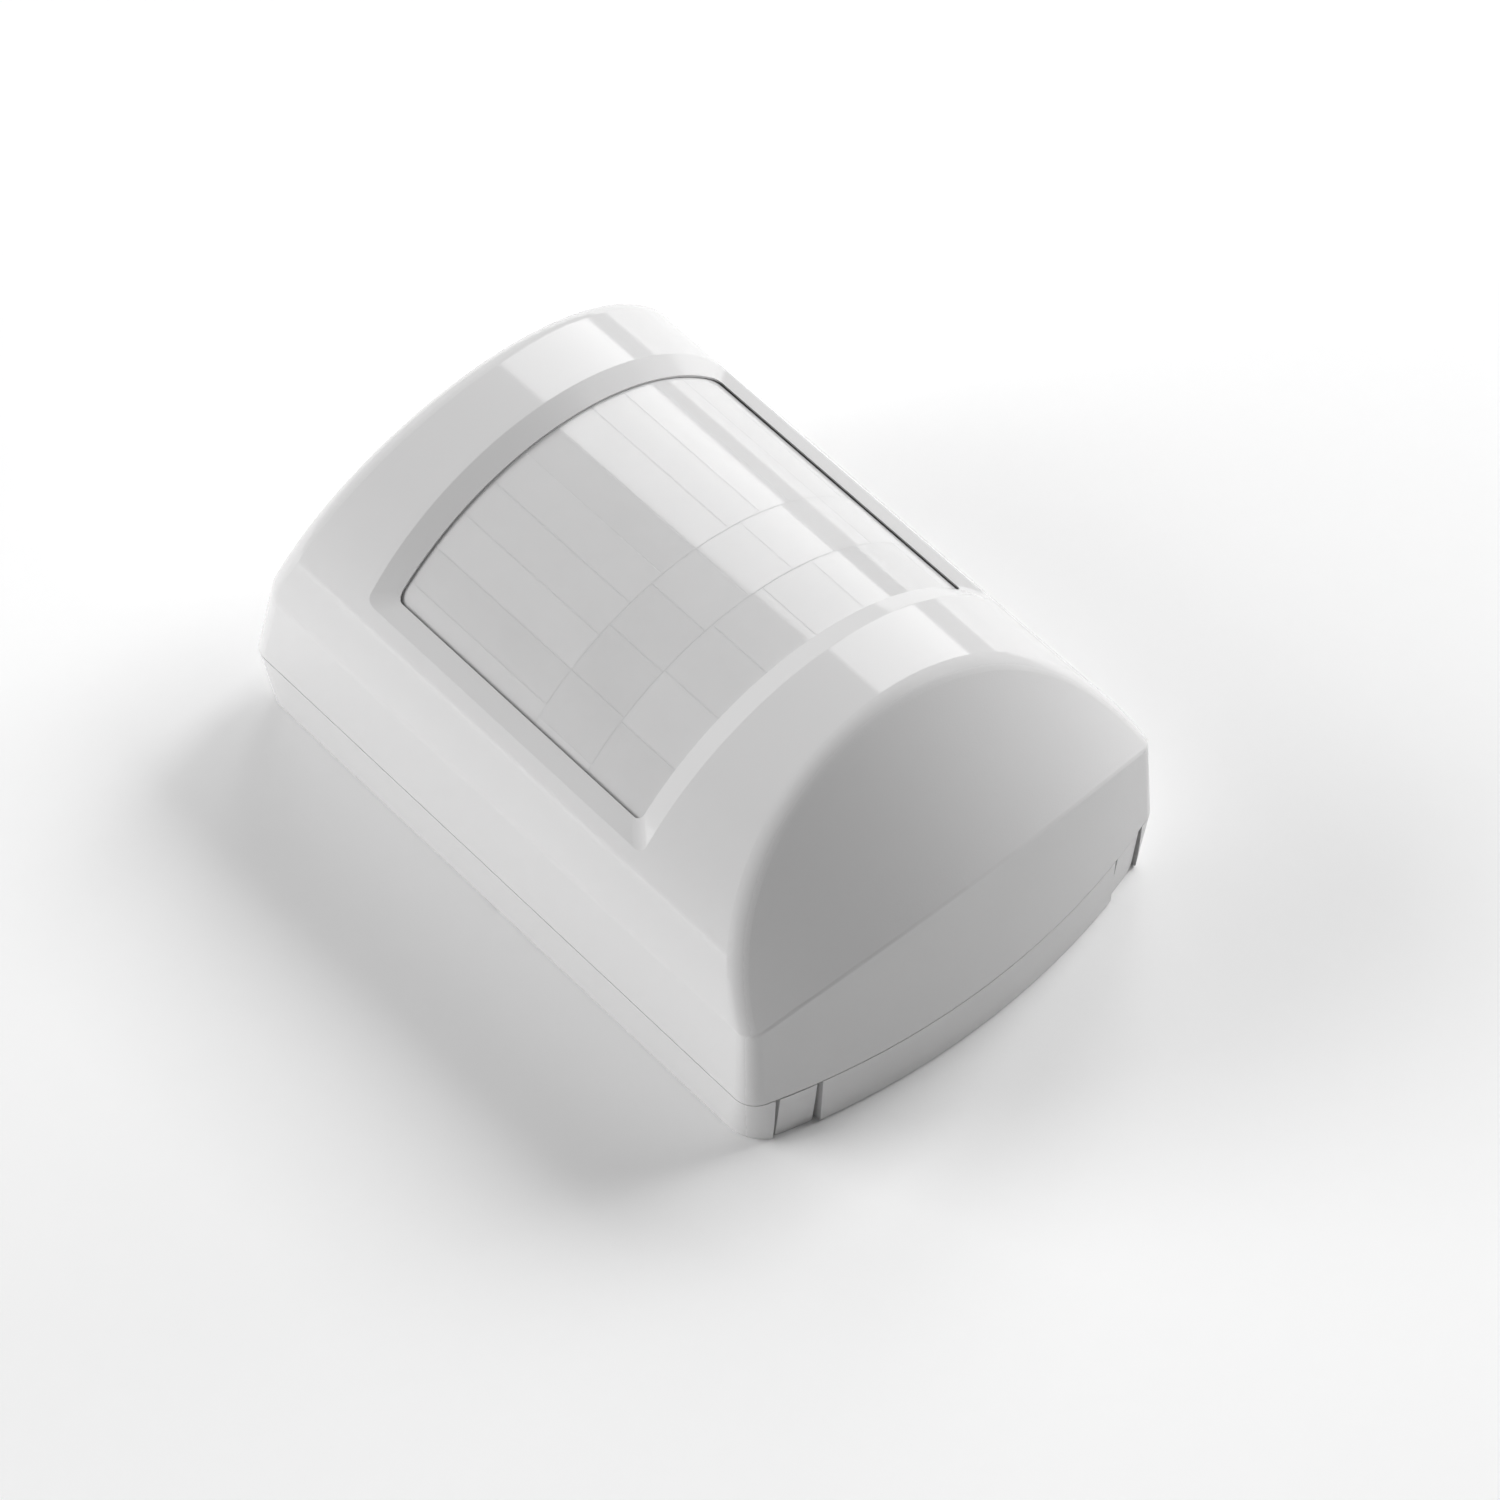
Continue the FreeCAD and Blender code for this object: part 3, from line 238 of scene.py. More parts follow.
class Look:
    """A material while it is built: its Principled shader, and short ways to add nodes to it."""

    def __init__(self, name):
        self.material = bpy.data.materials.new(name)
        self.material.use_nodes = True
        self.nodes = self.material.node_tree.nodes
        self.links = self.material.node_tree.links
        self.shader = self.nodes["Principled BSDF"]
        self.texture_coordinates = self.nodes.new("ShaderNodeTexCoord")
        self.place = self.texture_coordinates.outputs["Object"]

    def plug(self, output, socket):
        """Links an output to one of the shader's sockets."""
        self.links.new(output, self.shader.inputs[socket])

    def fix(self, **values):
        """Sets shader sockets that are the same all over, given as Socket_Name=value."""
        for socket, value in values.items():
            self.shader.inputs[socket.replace("_", " ")].default_value = value

    def feed(self, node, socket, value):
        """Gives a node's input either a link or a number."""
        if isinstance(value, bpy.types.NodeSocket):
            self.links.new(value, node.inputs[socket])
        else:
            node.inputs[socket].default_value = value

    def noise(self, scale, detail=3.0, roughness=0.5, stretch=EVEN):
        """Noise in object space, with its scale in features per metre."""
        mapping = self.nodes.new("ShaderNodeMapping")
        mapping.inputs["Scale"].default_value = stretch
        self.links.new(self.place, mapping.inputs["Vector"])
        texture = self.nodes.new("ShaderNodeTexNoise")
        texture.inputs["Scale"].default_value = scale
        texture.inputs["Detail"].default_value = detail
        texture.inputs["Roughness"].default_value = roughness
        self.links.new(mapping.outputs["Vector"], texture.inputs["Vector"])
        return texture.outputs["Fac"]

    def spread(self, value, low, high, start=0.0, end=1.0):
        """Maps the range from start to end onto low to high."""
        node = self.nodes.new("ShaderNodeMapRange")
        node.inputs["From Min"].default_value = start
        node.inputs["From Max"].default_value = end
        node.inputs["To Min"].default_value = low
        node.inputs["To Max"].default_value = high
        self.links.new(value, node.inputs["Value"])
        return node.outputs["Result"]

    def ramp(self, value, stops):
        """A colour ramp through (position, colour) stops."""
        node = self.nodes.new("ShaderNodeValToRGB")
        elements = node.color_ramp.elements
        while len(elements) < len(stops):
            elements.new(0.5)
        for element, (position, colour) in zip(elements, stops):
            element.position = position
            element.color = (*colour, 1.0)
        self.links.new(value, node.inputs["Fac"])
        return node.outputs["Color"]

    def math(self, operation, first, second=0.0):
        """One step of arithmetic on links or numbers."""
        node = self.nodes.new("ShaderNodeMath")
        node.operation = operation
        self.feed(node, 0, first)
        self.feed(node, 1, second)
        return node.outputs[0]

    def blend(self, factor, first, second):
        """Mixes two colours, each a link or a plain colour."""
        node = self.nodes.new("ShaderNodeMix")
        node.data_type = "RGBA"
        self.links.new(factor, node.inputs["Factor"])
        for socket, colour in (("A", first), ("B", second)):
            target = [entry for entry in node.inputs if entry.name == socket and entry.type == "RGBA"][0]
            if isinstance(colour, bpy.types.NodeSocket):
                self.links.new(colour, target)
            else:
                target.default_value = (*colour, 1.0)
        return [entry for entry in node.outputs if entry.type == "RGBA"][0]

    def part_of(self, vector, axis):
        """One axis of a vector output."""
        node = self.nodes.new("ShaderNodeSeparateXYZ")
        self.links.new(vector, node.inputs[0])
        return node.outputs[axis]

    def along(self, axis):
        """The place along an axis, in metres."""
        return self.part_of(self.place, axis)

    def facing(self, axis):
        """How far the surface faces along an axis, from -1 to 1, in the piece's own frame."""
        return self.part_of(self.texture_coordinates.outputs["Normal"], axis)

    def beyond(self, value, edge, softness):
        """0 before an edge and 1 past it."""
        return self.spread(value, 0.0, 1.0, edge - softness, edge + softness)

    def bump(self, height, depth):
        """Raises the surface by a height pattern whose depth is in metres."""
        node = self.nodes.new("ShaderNodeBump")
        node.inputs["Strength"].default_value = 1.0
        node.inputs["Distance"].default_value = depth
        self.links.new(height, node.inputs["Height"])
        self.plug(node.outputs["Normal"], "Normal")

    def mottle(self, colour, scale, amount, detail=3.0, stretch=EVEN):
        """A colour that drifts a little lighter and darker."""
        drift = self.noise(scale, detail, 0.5, stretch)
        return self.ramp(drift, [(0.3, shade(colour, 1 - amount)), (0.7, shade(colour, 1 + amount))])


# --- Materials ---------------------------------------------------------------------------------------

def case_white():
    """Polished white ABS, with a fine spark-eroded grain on the sloping facet and the bottom end wall."""
    look = Look("case_white")
    matte = look.spread(look.facing("Y"), 1.0, 0.0, -0.60, -0.25)
    look.plug(look.mottle(WHITE_CASE, 45.0, 0.008, 2.0), "Base Color")
    gloss = look.spread(look.noise(500.0, 3.0), 0.07, 0.11)
    dull = look.spread(look.noise(1500.0, 3.0), 0.36, 0.44)
    mixed = look.math("ADD", look.math("MULTIPLY", gloss, look.math("SUBTRACT", 1.0, matte)),
                      look.math("MULTIPLY", dull, matte))
    look.plug(mixed, "Roughness")
    grain = look.math("MULTIPLY", look.noise(5200.0, 2.0), look.spread(matte, 0.06, 1.0))
    look.bump(grain, 0.010 * MM)
    look.fix(IOR=1.53)
    return look.material


def inner_white():
    """Plain unpolished ABS."""
    look = Look("inner_white")
    look.plug(look.mottle(WHITE_INNER, 80.0, 0.02), "Base Color")
    skin = look.noise(4000.0, 3.0)
    look.plug(look.spread(skin, 0.38, 0.5), "Roughness")
    look.bump(skin, 0.006 * MM)
    return look.material


def lens_film(name, tone, grooved):
    """Milky polyethylene film; its grooved inner side carries the lens rings."""
    look = Look(name)
    look.plug(look.mottle(shade(FILM, tone), 150.0, 0.012), "Base Color")
    look.plug(look.spread(look.noise(900.0), 0.06, 0.09), "Roughness")
    if grooved:
        distance = look.nodes.new("ShaderNodeAttribute")
        distance.attribute_name = "ring"
        tooth = look.math("FRACT", look.math("MULTIPLY", distance.outputs["Fac"], MM / RING_PITCH))
        look.bump(tooth, RING_DEPTH)
    else:
        look.bump(look.noise(1300.0, 2.0), 0.0006 * MM)
    look.fix(Subsurface_Weight=0.3, Subsurface_Radius=(1.0, 0.96, 0.92), Subsurface_Scale=0.6 * MM, IOR=1.52)
    return look.material


def solder_mask():
    """Green solder mask over a copper plane, with small tented vias and a faint glass weave."""
    look = Look("solder_mask")
    across = look.math("PINGPONG", look.along("X"), VIA_PITCH / 2)
    along = look.math("PINGPONG", look.along("Y"), VIA_PITCH / 2)
    squares = look.math("ADD", look.math("MULTIPLY", across, across), look.math("MULTIPLY", along, along))
    plain = look.beyond(look.math("SQRT", squares), VIA_RADIUS, VIA_RADIUS / 5)
    flow = look.mottle(PLANE_GREEN, 90.0, 0.12)
    look.plug(look.blend(plain, MASK_GREEN, flow), "Base Color")
    weft = look.math("SINE", look.math("MULTIPLY", look.along("X"), WEAVE_RATE))
    warp = look.math("SINE", look.math("MULTIPLY", look.along("Y"), WEAVE_RATE))
    weave = look.math("MULTIPLY", weft, warp)
    look.plug(look.spread(weave, 0.22, 0.32, -1.0, 1.0), "Roughness")
    look.bump(look.math("ADD", plain, look.math("MULTIPLY", weave, 0.1)), 0.012 * MM)
    return look.material


def metal(name, colour, roughness, grain=2500.0, stretch=(1.0, 0.06, 1.0), depth=0.004):
    """Plated metal with fine drawn scratches."""
    look = Look(name)
    scratches = look.noise(grain, 4.0, 0.6, stretch)
    look.plug(look.ramp(scratches, [(0.3, shade(colour, 0.86)), (0.7, shade(colour, 1.06))]), "Base Color")
    look.plug(look.spread(scratches, roughness * 0.7, roughness * 1.3), "Roughness")
    look.bump(scratches, depth * MM)
    look.fix(Metallic=1.0)
    return look.material


def moulded(name, colour, roughness, speckle=0.10):
    """Dark moulded plastic with a slightly uneven skin."""
    look = Look(name)
    look.plug(look.mottle(colour, 900.0, speckle), "Base Color")
    skin = look.noise(5000.0, 3.0)
    look.plug(look.spread(skin, roughness * 0.85, roughness * 1.15), "Roughness")
    look.bump(skin, 0.006 * MM)
    return look.material


def chip_body(name, node, pin_reach):
    """Black epoxy with tinned pins outside the body's sides."""
    low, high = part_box(node)
    middle_x = (low[0] + high[0]) / 2
    half_body = (high[0] - low[0]) / 2 - pin_reach
    look = Look(name)
    offset = look.math("ABSOLUTE", look.math("SUBTRACT", look.along("X"), middle_x))
    pin = look.beyond(offset, half_body + 0.02 * MM, 0.02 * MM)
    epoxy = look.mottle(BLACK, 2500.0, 0.25)
    look.plug(look.blend(pin, epoxy, look.mottle(TIN, 3000.0, 0.06)), "Base Color")
    look.plug(pin, "Metallic")
    skin = look.noise(6000.0, 3.0)
    look.plug(look.spread(skin, 0.42, 0.55), "Roughness")
    look.bump(skin, 0.008 * MM)
    return look.material


def red_epoxy():
    """Clear tinted epoxy of the indicator lamp."""
    look = Look("led_epoxy")
    look.plug(look.mottle(LAMP_RED, 700.0, 0.08), "Base Color")
    look.plug(look.spread(look.noise(1200.0), 0.05, 0.10), "Roughness")
    look.fix(Transmission_Weight=0.45, IOR=1.54)
    return look.material


def filter_glass():
    """The detector's dark polished infrared filter, with its coating's faint colour drift."""
    look = Look("filter_glass")
    coating = look.ramp(look.noise(350.0, 2.0), [(0.35, FILTER_VIOLET), (0.65, FILTER_BROWN)])
    look.plug(coating, "Base Color")
    look.plug(look.spread(look.noise(2000.0), 0.04, 0.08), "Roughness")
    look.fix(IOR=2.2)
    return look.material


def battery_wrap():
    """A shrink wrap round the cell, with its bare steel ends."""
    low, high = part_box("battery")
    middle = [(a + b) / 2 for a, b in zip(low, high)]
    look = Look("battery_wrap")
    offset_y = look.math("SUBTRACT", look.along("Y"), middle[1])
    offset_z = look.math("SUBTRACT", look.along("Z"), middle[2])
    radius = look.math("SQRT", look.math("ADD", look.math("MULTIPLY", offset_y, offset_y),
                                         look.math("MULTIPLY", offset_z, offset_z)))
    wrap_edge = (high[2] - low[2]) / 2 - 1.2 * MM
    wrapped = look.beyond(radius, wrap_edge, 0.05 * MM)
    band = look.beyond(look.along("X"), high[0] - 8.5 * MM, 0.05 * MM)
    sleeve = look.blend(band, look.mottle(WRAP, 120.0, 0.10), look.mottle(BAND_GREY, 120.0, 0.05))
    look.plug(look.blend(wrapped, look.mottle(STEEL, 2500.0, 0.06), sleeve), "Base Color")
    look.plug(look.math("SUBTRACT", 1.0, wrapped), "Metallic")
    creases = look.noise(260.0, 3.0, 0.5, (1.0, 0.35, 0.35))
    look.plug(look.spread(creases, 0.20, 0.34), "Roughness")
    look.bump(creases, 0.05 * MM)
    return look.material


def capacitor_sleeve():
    """Dark shrink sleeve with one pale stripe down it."""
    look = Look("capacitor_sleeve")
    stripe = look.beyond(look.facing("X"), 0.86, 0.01)
    sleeve = look.mottle(SLEEVE, 300.0, 0.15)
    look.plug(look.blend(stripe, sleeve, look.mottle(STRIPE, 300.0, 0.05)), "Base Color")
    creases = look.noise(900.0, 3.0, 0.5, (1.0, 1.0, 0.3))
    look.plug(look.spread(creases, 0.24, 0.36), "Roughness")
    look.bump(creases, 0.02 * MM)
    return look.material


def dress(node, material):
    """Gives a CAD node its finished material."""
    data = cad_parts[node].data
    if not data.materials:
        data.materials.append(material)
    for index in range(len(data.materials)):
        data.materials[index] = material


# --- Mesh building -----------------------------------------------------------------------------------

def finish_piece(name, bm, body, materials, replaced=(), smooth_angle=None):
    """Turns a bmesh into a piece that rides on a body."""
    mesh = bpy.data.meshes.new(name)
    bmesh.ops.recalc_face_normals(bm, faces=bm.faces)
    if smooth_angle is not None:
        for face in bm.faces:
            face.smooth = True
        for edge in bm.edges:
            if len(edge.link_faces) == 2 and edge.calc_face_angle() > smooth_angle:
                edge.smooth = False
    bm.to_mesh(mesh)
    bm.free()
    for material in materials:
        mesh.materials.append(material)
    piece = bpy.data.objects.new(name, mesh)
    bpy.context.scene.collection.objects.link(piece)
    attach(piece, body)
    if replaced:
        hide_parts(*replaced)
    return piece


def add_block(bm, low, high, material=0, bevel=0.0):
    """A block between two corners, with its edges rounded."""
    made = bmesh.ops.create_cube(bm, size=1.0)["verts"]
    centre = (Vector(low) + Vector(high)) / 2
    size = Vector(high) - Vector(low)
    for vert in made:
        vert.co = centre + Vector(part * extent for part, extent in zip(vert.co, size))
    faces = {face for vert in made for face in vert.link_faces}
    for face in faces:
        face.material_index = material
    if bevel:
        edges = list({edge for vert in made for edge in vert.link_edges})
        bmesh.ops.bevel(bm, geom=edges, offset=bevel, segments=2, profile=0.5, affect="EDGES")


def add_lathe(bm, centre, profile, sides=40):
    """A turned shape about an upright axis from (radius, height, material) points."""
    rings = []
    for radius, height, _ in profile:
        ring = []
        for i in range(sides):
            turn = 2 * math.pi * i / sides
            x = centre[0] + radius * math.cos(turn)
            y = centre[1] + radius * math.sin(turn)
            ring.append(bm.verts.new((x, y, height)))
        rings.append(ring)
    for (lower, upper), (_, _, material) in zip(zip(rings, rings[1:]), profile[1:]):
        for i in range(sides):
            j = (i + 1) % sides
            bm.faces.new((lower[i], lower[j], upper[j], upper[i])).material_index = material
    bm.faces.new(rings[0][::-1]).material_index = profile[0][2]
    bm.faces.new(rings[-1]).material_index = profile[-1][2]


def islands(node):
    """The low and high corners of each separate solid of a CAD node."""
    bm = bmesh.new()
    bm.from_mesh(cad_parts[node].data)
    bmesh.ops.remove_doubles(bm, verts=bm.verts, dist=0.001 * MM)
    left = set(bm.verts)
    boxes = []
    while left:
        stack = [left.pop()]
        found = list(stack)
        while stack:
            for edge in stack.pop().link_edges:
                for vert in edge.verts:
                    if vert in left:
                        left.remove(vert)
                        stack.append(vert)
                        found.append(vert)
        low = tuple(min(vert.co[k] for vert in found) for k in range(3))
        high = tuple(max(vert.co[k] for vert in found) for k in range(3))
        boxes.append((low, high))
    bm.free()
    return sorted(boxes)


# --- Lens --------------------------------------------------------------------------------------------

def lens_cylinder():
    """The lens film's outer radius and the height of its axis, worked out from its box."""
    low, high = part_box("fresnel_lens")
    half = (high[0] - low[0]) / 2
    rise = high[2] - low[2]
    radius = (rise ** 2 + half ** 2 - LENS_THICKNESS ** 2) / (2 * (rise - LENS_THICKNESS))
    return radius, high[2] - radius, half


def steps_between(start, end, border, step):
    """Places from start to end: a narrow border at each end and even steps between."""
    count = max(2, round((end - start - 2 * border) / step))
    inner = [start + border + (end - start - 2 * border) * i / count for i in range(count + 1)]
    return [start] + inner + [end]


def lens_segment(bm, ring_layer, radius, axis_z, turns, span, tilt, tone):
    """One moulded lens segment: a bent slab whose outer rim dips to leave a fine seam."""
    turn_border = SEAM_WIDTH / radius
    turn_steps = steps_between(turns[0], turns[1], turn_border, LENS_STEPS[0] / radius)
    y_steps = steps_between(span[0], span[1], SEAM_WIDTH, LENS_STEPS[1])
    middle_turn, middle_y = sum(turns) / 2, sum(span) / 2
    sheets = []
    for outer in (True, False):
        sheet = []
        for i, turn in enumerate(turn_steps):
            column = []
            for j, y in enumerate(y_steps):
                across = (turn - middle_turn) / (turns[1] - turns[0])
                along = (y - middle_y) / (span[1] - span[0])
                r = radius - LENS_TILT + tilt[0] * across + tilt[1] * along
                on_rim = i in (0, len(turn_steps) - 1) or j in (0, len(y_steps) - 1)
                if not outer:
                    r = radius - LENS_THICKNESS
                elif on_rim:
                    r -= SEAM_DEPTH
                vert = bm.verts.new((r * math.sin(turn), y, axis_z + r * math.cos(turn)))
                vert[ring_layer] = math.hypot((turn - middle_turn) * radius, y - middle_y) / MM
                column.append(vert)
            sheet.append(column)
        sheets.append(sheet)
    for sheet, material in ((sheets[0], tone), (sheets[1], GROOVES)):
        for left, right in zip(sheet, sheet[1:]):
            for j in range(len(y_steps) - 1):
                bm.faces.new((left[j], right[j], right[j + 1], left[j + 1])).material_index = material
    outer, inner = sheets
    top_rim = outer[0] + [column[-1] for column in outer[1:]] + outer[-1][-2::-1]
    top_rim += [column[0] for column in outer[-2:0:-1]]
    low_rim = inner[0] + [column[-1] for column in inner[1:]] + inner[-1][-2::-1]
    low_rim += [column[0] for column in inner[-2:0:-1]]
    for k in range(len(top_rim)):
        after = (k + 1) % len(top_rim)
        bm.faces.new((top_rim[k], top_rim[after], low_rim[after], low_rim[k])).material_index = tone


def make_lens():
    """The bent film with its three rows of lens segments."""
    radius, axis_z, half = lens_cylinder()
    low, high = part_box("fresnel_lens")
    end_turn = math.asin(half / radius)
    dice = random.Random(LENS_SEED)
    bm = bmesh.new()
    ring_layer = bm.verts.layers.float.new("ring")
    y = low[1]
    for share, step, seam in LENS_ROWS:
        y_end = y + share * (high[1] - low[1])
        first = math.ceil((-end_turn - seam) / step + 0.15)
        last = math.floor((end_turn - seam) / step - 0.15)
        seams = [-end_turn] + [seam + step * k for k in range(first, last + 1)] + [end_turn]
        for turns in zip(seams, seams[1:]):
            tilt = (dice.uniform(-1, 1) * LENS_TILT, dice.uniform(-1, 1) * LENS_TILT)
            lens_segment(bm, ring_layer, radius, axis_z, turns, (y, y_end), tilt, dice.randrange(3))
        y = y_end
    looks = [lens_film("lens_film_" + letter, tone, False) for letter, tone in zip("abc", LENS_TONES)]
    looks.append(lens_film("lens_film_grooves", 1.0, True))
    finish_piece("lens_film", bm, "cover", looks, ["fresnel_lens"], LENS_CREASE)


# --- Board detail ------------------------------------------------------------------------------------

def add_ribbon(bm, points, width, z, height):
    """A flat raised strip along a path on the board."""
    for start, end in zip(points, points[1:]):
        run = Vector(end) - Vector(start)
        if run.length == 0:
            continue
        side = Vector((-run.y, run.x)).normalized() * width / 2
        ahead = run.normalized() * width / 2
        corners = [Vector(start) - ahead - side, Vector(end) + ahead - side,
                   Vector(end) + ahead + side, Vector(start) - ahead + side]
        floor_ring = [bm.verts.new((corner.x, corner.y, z)) for corner in corners]
        top_ring = [bm.verts.new((corner.x, corner.y, z + height)) for corner in corners]
        bm.faces.new(top_ring)
        bm.faces.new(floor_ring[::-1])
        for k in range(4):
            after = (k + 1) % 4
            bm.faces.new((floor_ring[k], floor_ring[after], top_ring[after], top_ring[k]))


def bent_route(start, end):
    """A path that leaves straight, turns by 45 degrees and arrives straight."""
    dx, dy = end[0] - start[0], end[1] - start[1]
    slant = min(abs(dx), abs(dy))
    lead = (abs(dx) - slant) / 2
    sign_x, sign_y = math.copysign(1, dx), math.copysign(1, dy)
    first = (start[0] + sign_x * lead, start[1])
    second = (first[0] + sign_x * slant, first[1] + sign_y * slant)
    third = (second[0], end[1])
    return [start, first, second, third, end]


def chip_pin_places():
    """Where the chip's pins stand along each of its sides."""
    low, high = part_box("controller_chip")
    middle_y = (low[1] + high[1]) / 2
    return [middle_y + (i - (CHIP_PINS - 1) / 2) * CHIP_PITCH for i in range(CHIP_PINS)]


def make_tracks():
    """Copper tracks that stand a little proud under the solder mask."""
    board_low, board_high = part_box("circuit_board")
    top = board_high[2]
    chip_low, chip_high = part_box("controller_chip")
    radio_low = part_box("radio_module")[0]
    bm = bmesh.new()
    for y in chip_pin_places():
        route = bent_route((chip_high[0], y), (chip_high[0] + 1.3 * MM, y - 2.0 * MM))
        add_ribbon(bm, route, 0.28 * MM, top, TRACK_HEIGHT)
    for i, y in enumerate(chip_pin_places()):
        edge_x = board_low[0] + (1.6 + 0.6 * i) * MM
        edge_y = board_high[1] - (4 + 0.6 * i) * MM
        add_ribbon(bm, [(chip_low[0], y), (edge_x, y), (edge_x, edge_y)], TRACK_WIDTH, top, TRACK_HEIGHT)
    for i in range(6):
        x = radio_low[0] + (1.2 + 1.1 * i) * MM
        bend_y = radio_low[1] - (1.2 + 0.5 * i) * MM
        route = [(x, radio_low[1]), (x, bend_y), (x + 3.0 * MM, bend_y - 3.0 * MM)]
        add_ribbon(bm, route, TRACK_WIDTH, top, TRACK_HEIGHT)
    for side in (-1, 1):
        rail_x = side * (board_high[0] - 1.3 * MM)
        rail = [(rail_x, board_low[1] + 3 * MM), (rail_x, board_high[1] - 3 * MM)]
        add_ribbon(bm, rail, 0.9 * MM, top, TRACK_HEIGHT)
    look = Look("track_mask")
    look.plug(look.mottle(TRACK_GREEN, 200.0, 0.15), "Base Color")
    look.plug(look.spread(look.noise(3000.0), 0.2, 0.3), "Roughness")
    finish_piece("board_tracks", bm, "housing", [look.material])


def make_print():
    """White outlines printed round the larger parts, without lettering."""
    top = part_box("circuit_board")[1][2]
    bm = bmesh.new()
    for node in ("controller_chip", "crystal", "pair_button_body", "tamper_switch_body", "jumper_header",
                 "radio_module", "battery_holder"):
        low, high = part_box(node)
        x0, y0 = low[0] - PRINT_MARGIN, low[1] - PRINT_MARGIN
        x1, y1 = high[0] + PRINT_MARGIN, high[1] + PRINT_MARGIN
        outline = [(x0, y0), (x1, y0), (x1, y1), (x0, y1), (x0, y0)]
        add_ribbon(bm, outline, PRINT_WIDTH, top, PRINT_HEIGHT)
    look = Look("board_print")
    look.plug(look.mottle(PRINT_WHITE, 1500.0, 0.06), "Base Color")
    look.plug(look.spread(look.noise(4000.0), 0.5, 0.65), "Roughness")
    finish_piece("board_print", bm, "housing", [look.material])


def add_pad(bm, place, size, bottom, height, bevel):
    """A block of solder round a place on the board."""
    low = (place[0] - size[0] / 2, place[1] - size[1] / 2, bottom)
    high = (place[0] + size[0] / 2, place[1] + size[1] / 2, bottom + height)
    add_block(bm, low, high, 0, bevel)


def make_pads():
    """Tinned pads under the chip's pins, solder at the switches' feet, and the radio module's contacts."""
    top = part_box("circuit_board")[1][2]
    bm = bmesh.new()
    low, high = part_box("controller_chip")
    for y in chip_pin_places():
        for x in (low[0], high[0]):
            add_pad(bm, (x, y), (1.5 * MM, 0.52 * MM), top, 0.04 * MM, 0.015 * MM)
    for node in ("pair_button_body", "tamper_switch_body"):
        low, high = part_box(node)
        for x in (low[0], high[0]):
            for y in (low[1] + 0.9 * MM, high[1] - 0.9 * MM):
                add_pad(bm, (x, y), (1.6 * MM, 0.9 * MM), top, 0.35 * MM, 0.1 * MM)
    low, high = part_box("radio_module")
    for i in range(8):
        place = (high[0] - 0.425 * MM, low[1] + (1.4 + 1.6 * i) * MM)
        add_pad(bm, place, (0.95 * MM, 0.8 * MM), high[2], 0.06 * MM, 0.02 * MM)
    solder = metal("solder", TIN, 0.28, 1800.0, EVEN)
    finish_piece("solder_pads", bm, "housing", [solder])


def make_chip_parts():
    """Chip resistors and capacitors: a ceramic body between two tinned ends."""
    bm = bmesh.new()
    dice = random.Random(PARTS_SEED)
    for low, high in islands("chip_components"):
        low, high = Vector(low), Vector(high)
        axis = 0 if high.x - low.x > high.y - low.y else 1
        cap = (high[axis] - low[axis]) * 0.22
        body_low, body_high = low.copy(), high.copy()
        body_low[axis] += cap * 0.9
        body_high[axis] -= cap * 0.9
        body_high.z -= 0.03 * MM
        add_block(bm, body_low, body_high, dice.randrange(2), 0.03 * MM)
        for end in (0, 1):
            cap_low, cap_high = low.copy(), high.copy()
            if end:
                cap_low[axis] = high[axis] - cap
            else:
                cap_high[axis] = low[axis] + cap
            add_block(bm, cap_low, cap_high, 2, 0.06 * MM)
    looks = [moulded("ceramic_body", CERAMIC, 0.4), moulded("resistor_body", RESISTOR, 0.35),
             metal("tinned_ends", TIN, 0.3, 3000.0, EVEN)]
    finish_piece("chip_parts", bm, "housing", looks, ["chip_components"])


def make_capacitors():
    """Upright capacitors: a waisted sleeve and a bare aluminium top, with its scored cross drawn as thin
    dark raised strips of painted shade.
    """
    bm = bmesh.new()
    for low, high in islands("electrolytic_capacitors"):
        centre = ((low[0] + high[0]) / 2, (low[1] + high[1]) / 2)
        radius = (high[0] - low[0]) / 2
        z0, z1 = low[2], high[2]
        profile = [
            (radius * 0.93, z0, 0), (radius, z0 + 0.25 * MM, 0), (radius, z0 + 0.9 * MM, 0),
            (radius * 0.93, z0 + 1.2 * MM, 0), (radius, z0 + 1.5 * MM, 0), (radius, z1 - 0.35 * MM, 0),
            (radius * 0.96, z1 - 0.10 * MM, 0), (radius * 0.88, z1, 0), (radius * 0.80, z1 - 0.04 * MM, 0),
            (radius * 0.78, z1 - 0.12 * MM, 1), (radius * 0.30, z1 - 0.12 * MM, 1),
            (radius * 0.02, z1 - 0.12 * MM, 1),
        ]
        add_lathe(bm, centre, profile)
        # the scored cross: thin dark strips laid over the top, painted shade in place of grooves
        score = radius * 0.55
        for dx, dy in ((score, 0.05 * MM), (0.05 * MM, score)):
            add_block(bm, (centre[0] - dx, centre[1] - dy, z1 - 0.13 * MM),
                      (centre[0] + dx, centre[1] + dy, z1 - 0.10 * MM), 2)
    looks = [capacitor_sleeve(), metal("capacitor_top", ALUMINIUM, 0.30, 1500.0, EVEN),
             metal("score_painted_shade", SCORE_PAINTED_SHADE, 0.5, 1500.0, EVEN)]
    replaced = ["electrolytic_capacitors"]
    finish_piece("capacitors", bm, "housing", looks, replaced, TURNED_CREASE)


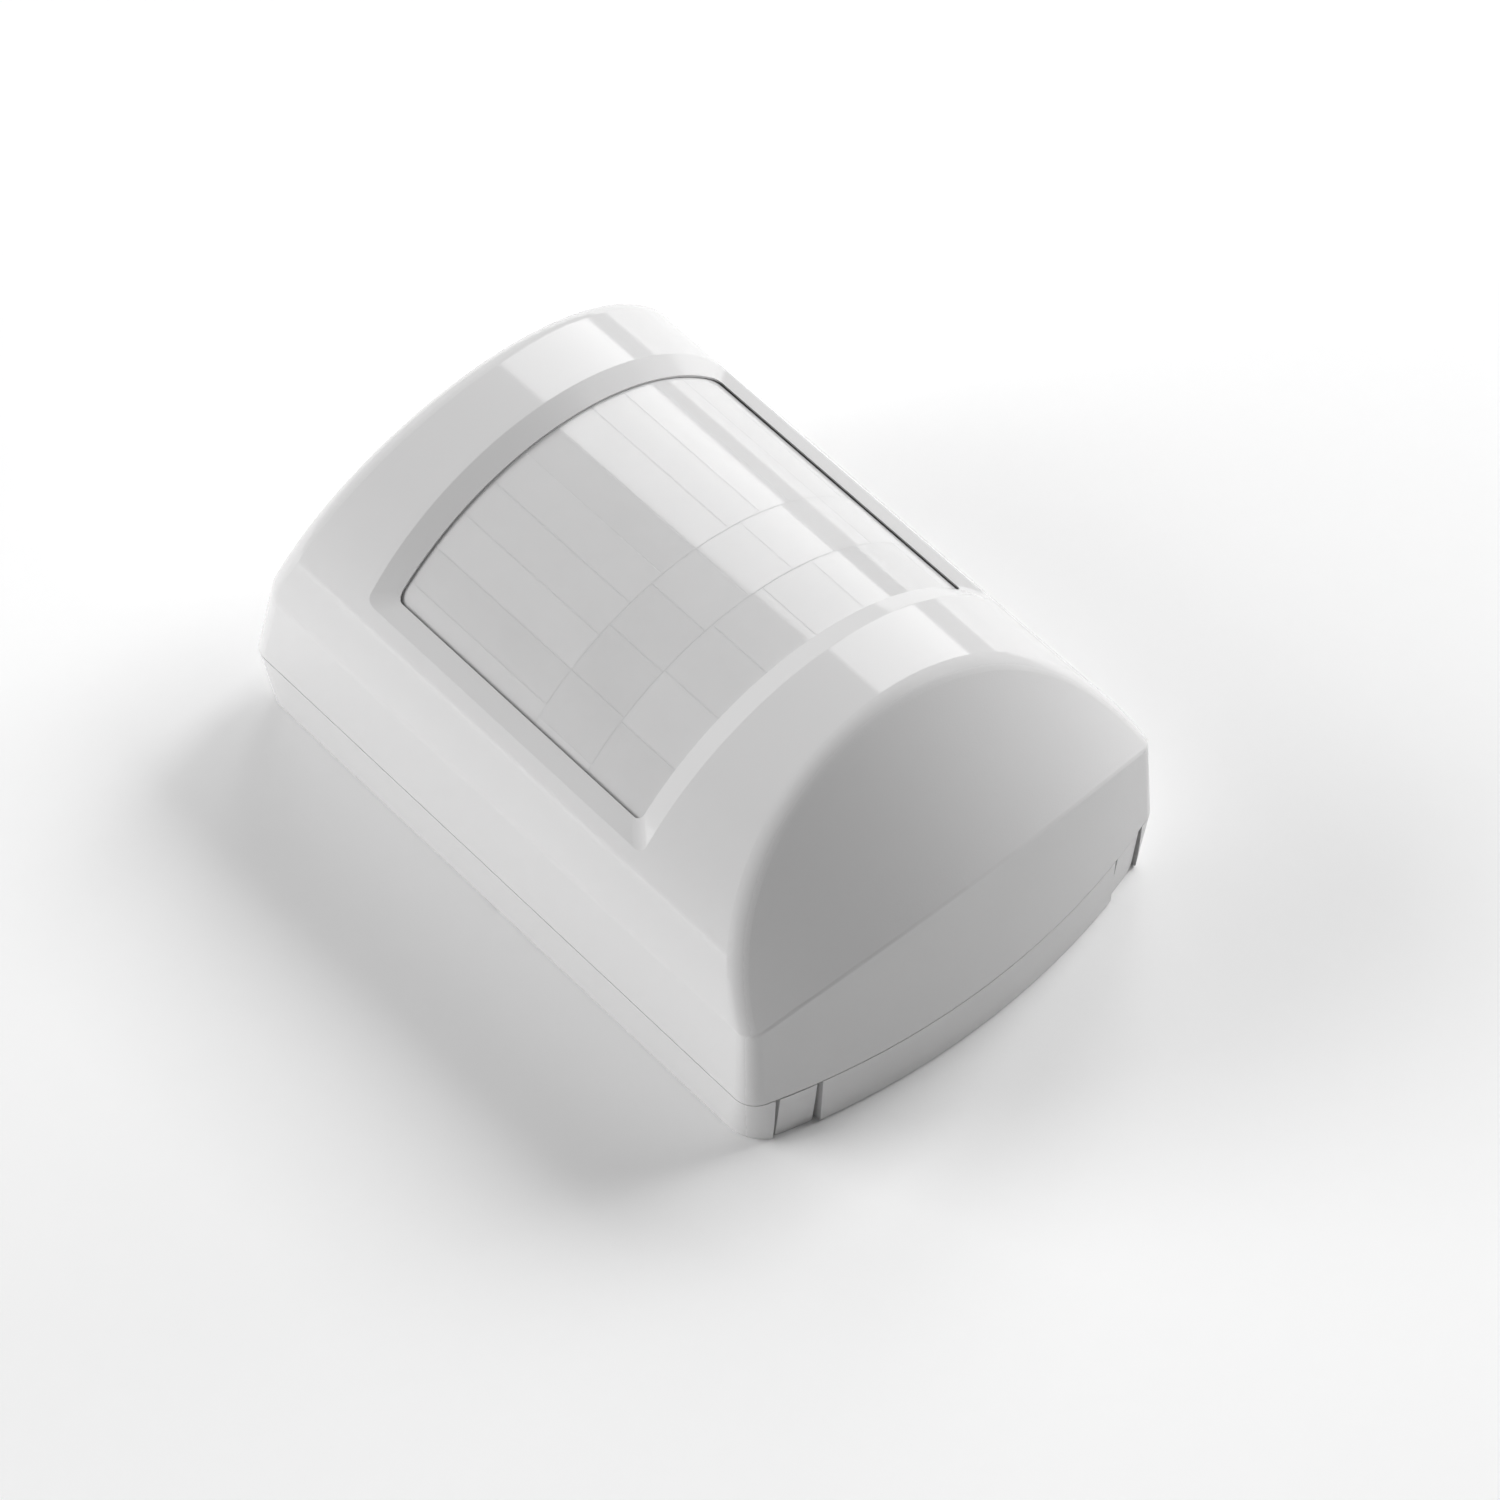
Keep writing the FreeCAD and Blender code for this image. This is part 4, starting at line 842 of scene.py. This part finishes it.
def make_tamper_coil():
    """The tamper switch's spring as a round wire."""
    low, high = (Vector(corner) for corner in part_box("tamper_spring"))
    middle = (low + high) / 2
    height = high.z - low.z
    radius = (high.x - low.x) / 2 - COIL_WIRE_RADIUS
    steps = COIL_TURNS * COIL_STEPS
    bm = bmesh.new()
    rings = []
    for k in range(steps + 1):
        turn = 2 * math.pi * k / COIL_STEPS
        outward = Vector((math.cos(turn), math.sin(turn), 0))
        rise = low.z + COIL_WIRE_RADIUS + (height - 2 * COIL_WIRE_RADIUS) * k / steps
        centre = Vector((middle.x, middle.y, rise)) + outward * radius
        ring = []
        for i in range(COIL_SIDES):
            around = 2 * math.pi * i / COIL_SIDES
            side = outward * math.cos(around) + Vector((0, 0, math.sin(around)))
            ring.append(bm.verts.new(centre + side * COIL_WIRE_RADIUS))
        rings.append(ring)
    for first, second in zip(rings, rings[1:]):
        for i in range(COIL_SIDES):
            j = (i + 1) % COIL_SIDES
            bm.faces.new((first[i], first[j], second[j], second[i]))
    bm.faces.new(rings[0][::-1])
    bm.faces.new(rings[-1])
    looks = [metal("coil_steel", STEEL, 0.28)]
    coil = finish_piece("tamper_coil", bm, "housing", looks, ["tamper_spring"], TURNED_CREASE)
    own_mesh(coil)


# --- Assembly ----------------------------------------------------------------------------------------

def dress_nodes():
    """Materials for the CAD nodes that are kept."""
    case = case_white()
    inner = inner_white()
    black = moulded("black_plastic", BLACK, 0.42)
    steel = metal("plated_steel", STEEL, 0.26)
    shield = metal("tinned_shield", TIN, 0.34, 1400.0, (0.08, 1.0, 1.0))
    copper = metal("enamelled_copper", COPPER, 0.22, 1600.0, EVEN, 0.002)
    for node in ("front_cover", "rear_housing", "latch_tab_left", "latch_tab_right"):
        dress(node, case)
    for node in ("lens_retainer", "sensor_spacer", "pair_button_cap"):
        dress(node, inner)
    for node in ("tamper_switch_body", "tamper_plunger", "pair_button_body", "jumper_header", "jumper_cap",
                 "battery_holder"):
        dress(node, black)
    for node in ("board_screw", "sensor_can", "sensor_leads", "crystal", "battery_contact_positive",
                 "battery_contact_negative"):
        dress(node, steel)
    dress("radio_shield", shield)
    dress("antenna_coil", copper)
    dress("circuit_board", solder_mask())
    dress("radio_module", moulded("radio_mask", RADIO_BLUE, 0.28))
    dress("controller_chip", chip_body("chip_epoxy", "controller_chip", CHIP_PIN_REACH))
    dress("status_led", red_epoxy())
    dress("sensor_window", filter_glass())
    dress("battery", battery_wrap())


dress_nodes()
make_lens()
make_tracks()
make_print()
make_pads()
make_chip_parts()
make_capacitors()
make_tamper_coil()

make_camera()
make_floor()
make_lights()
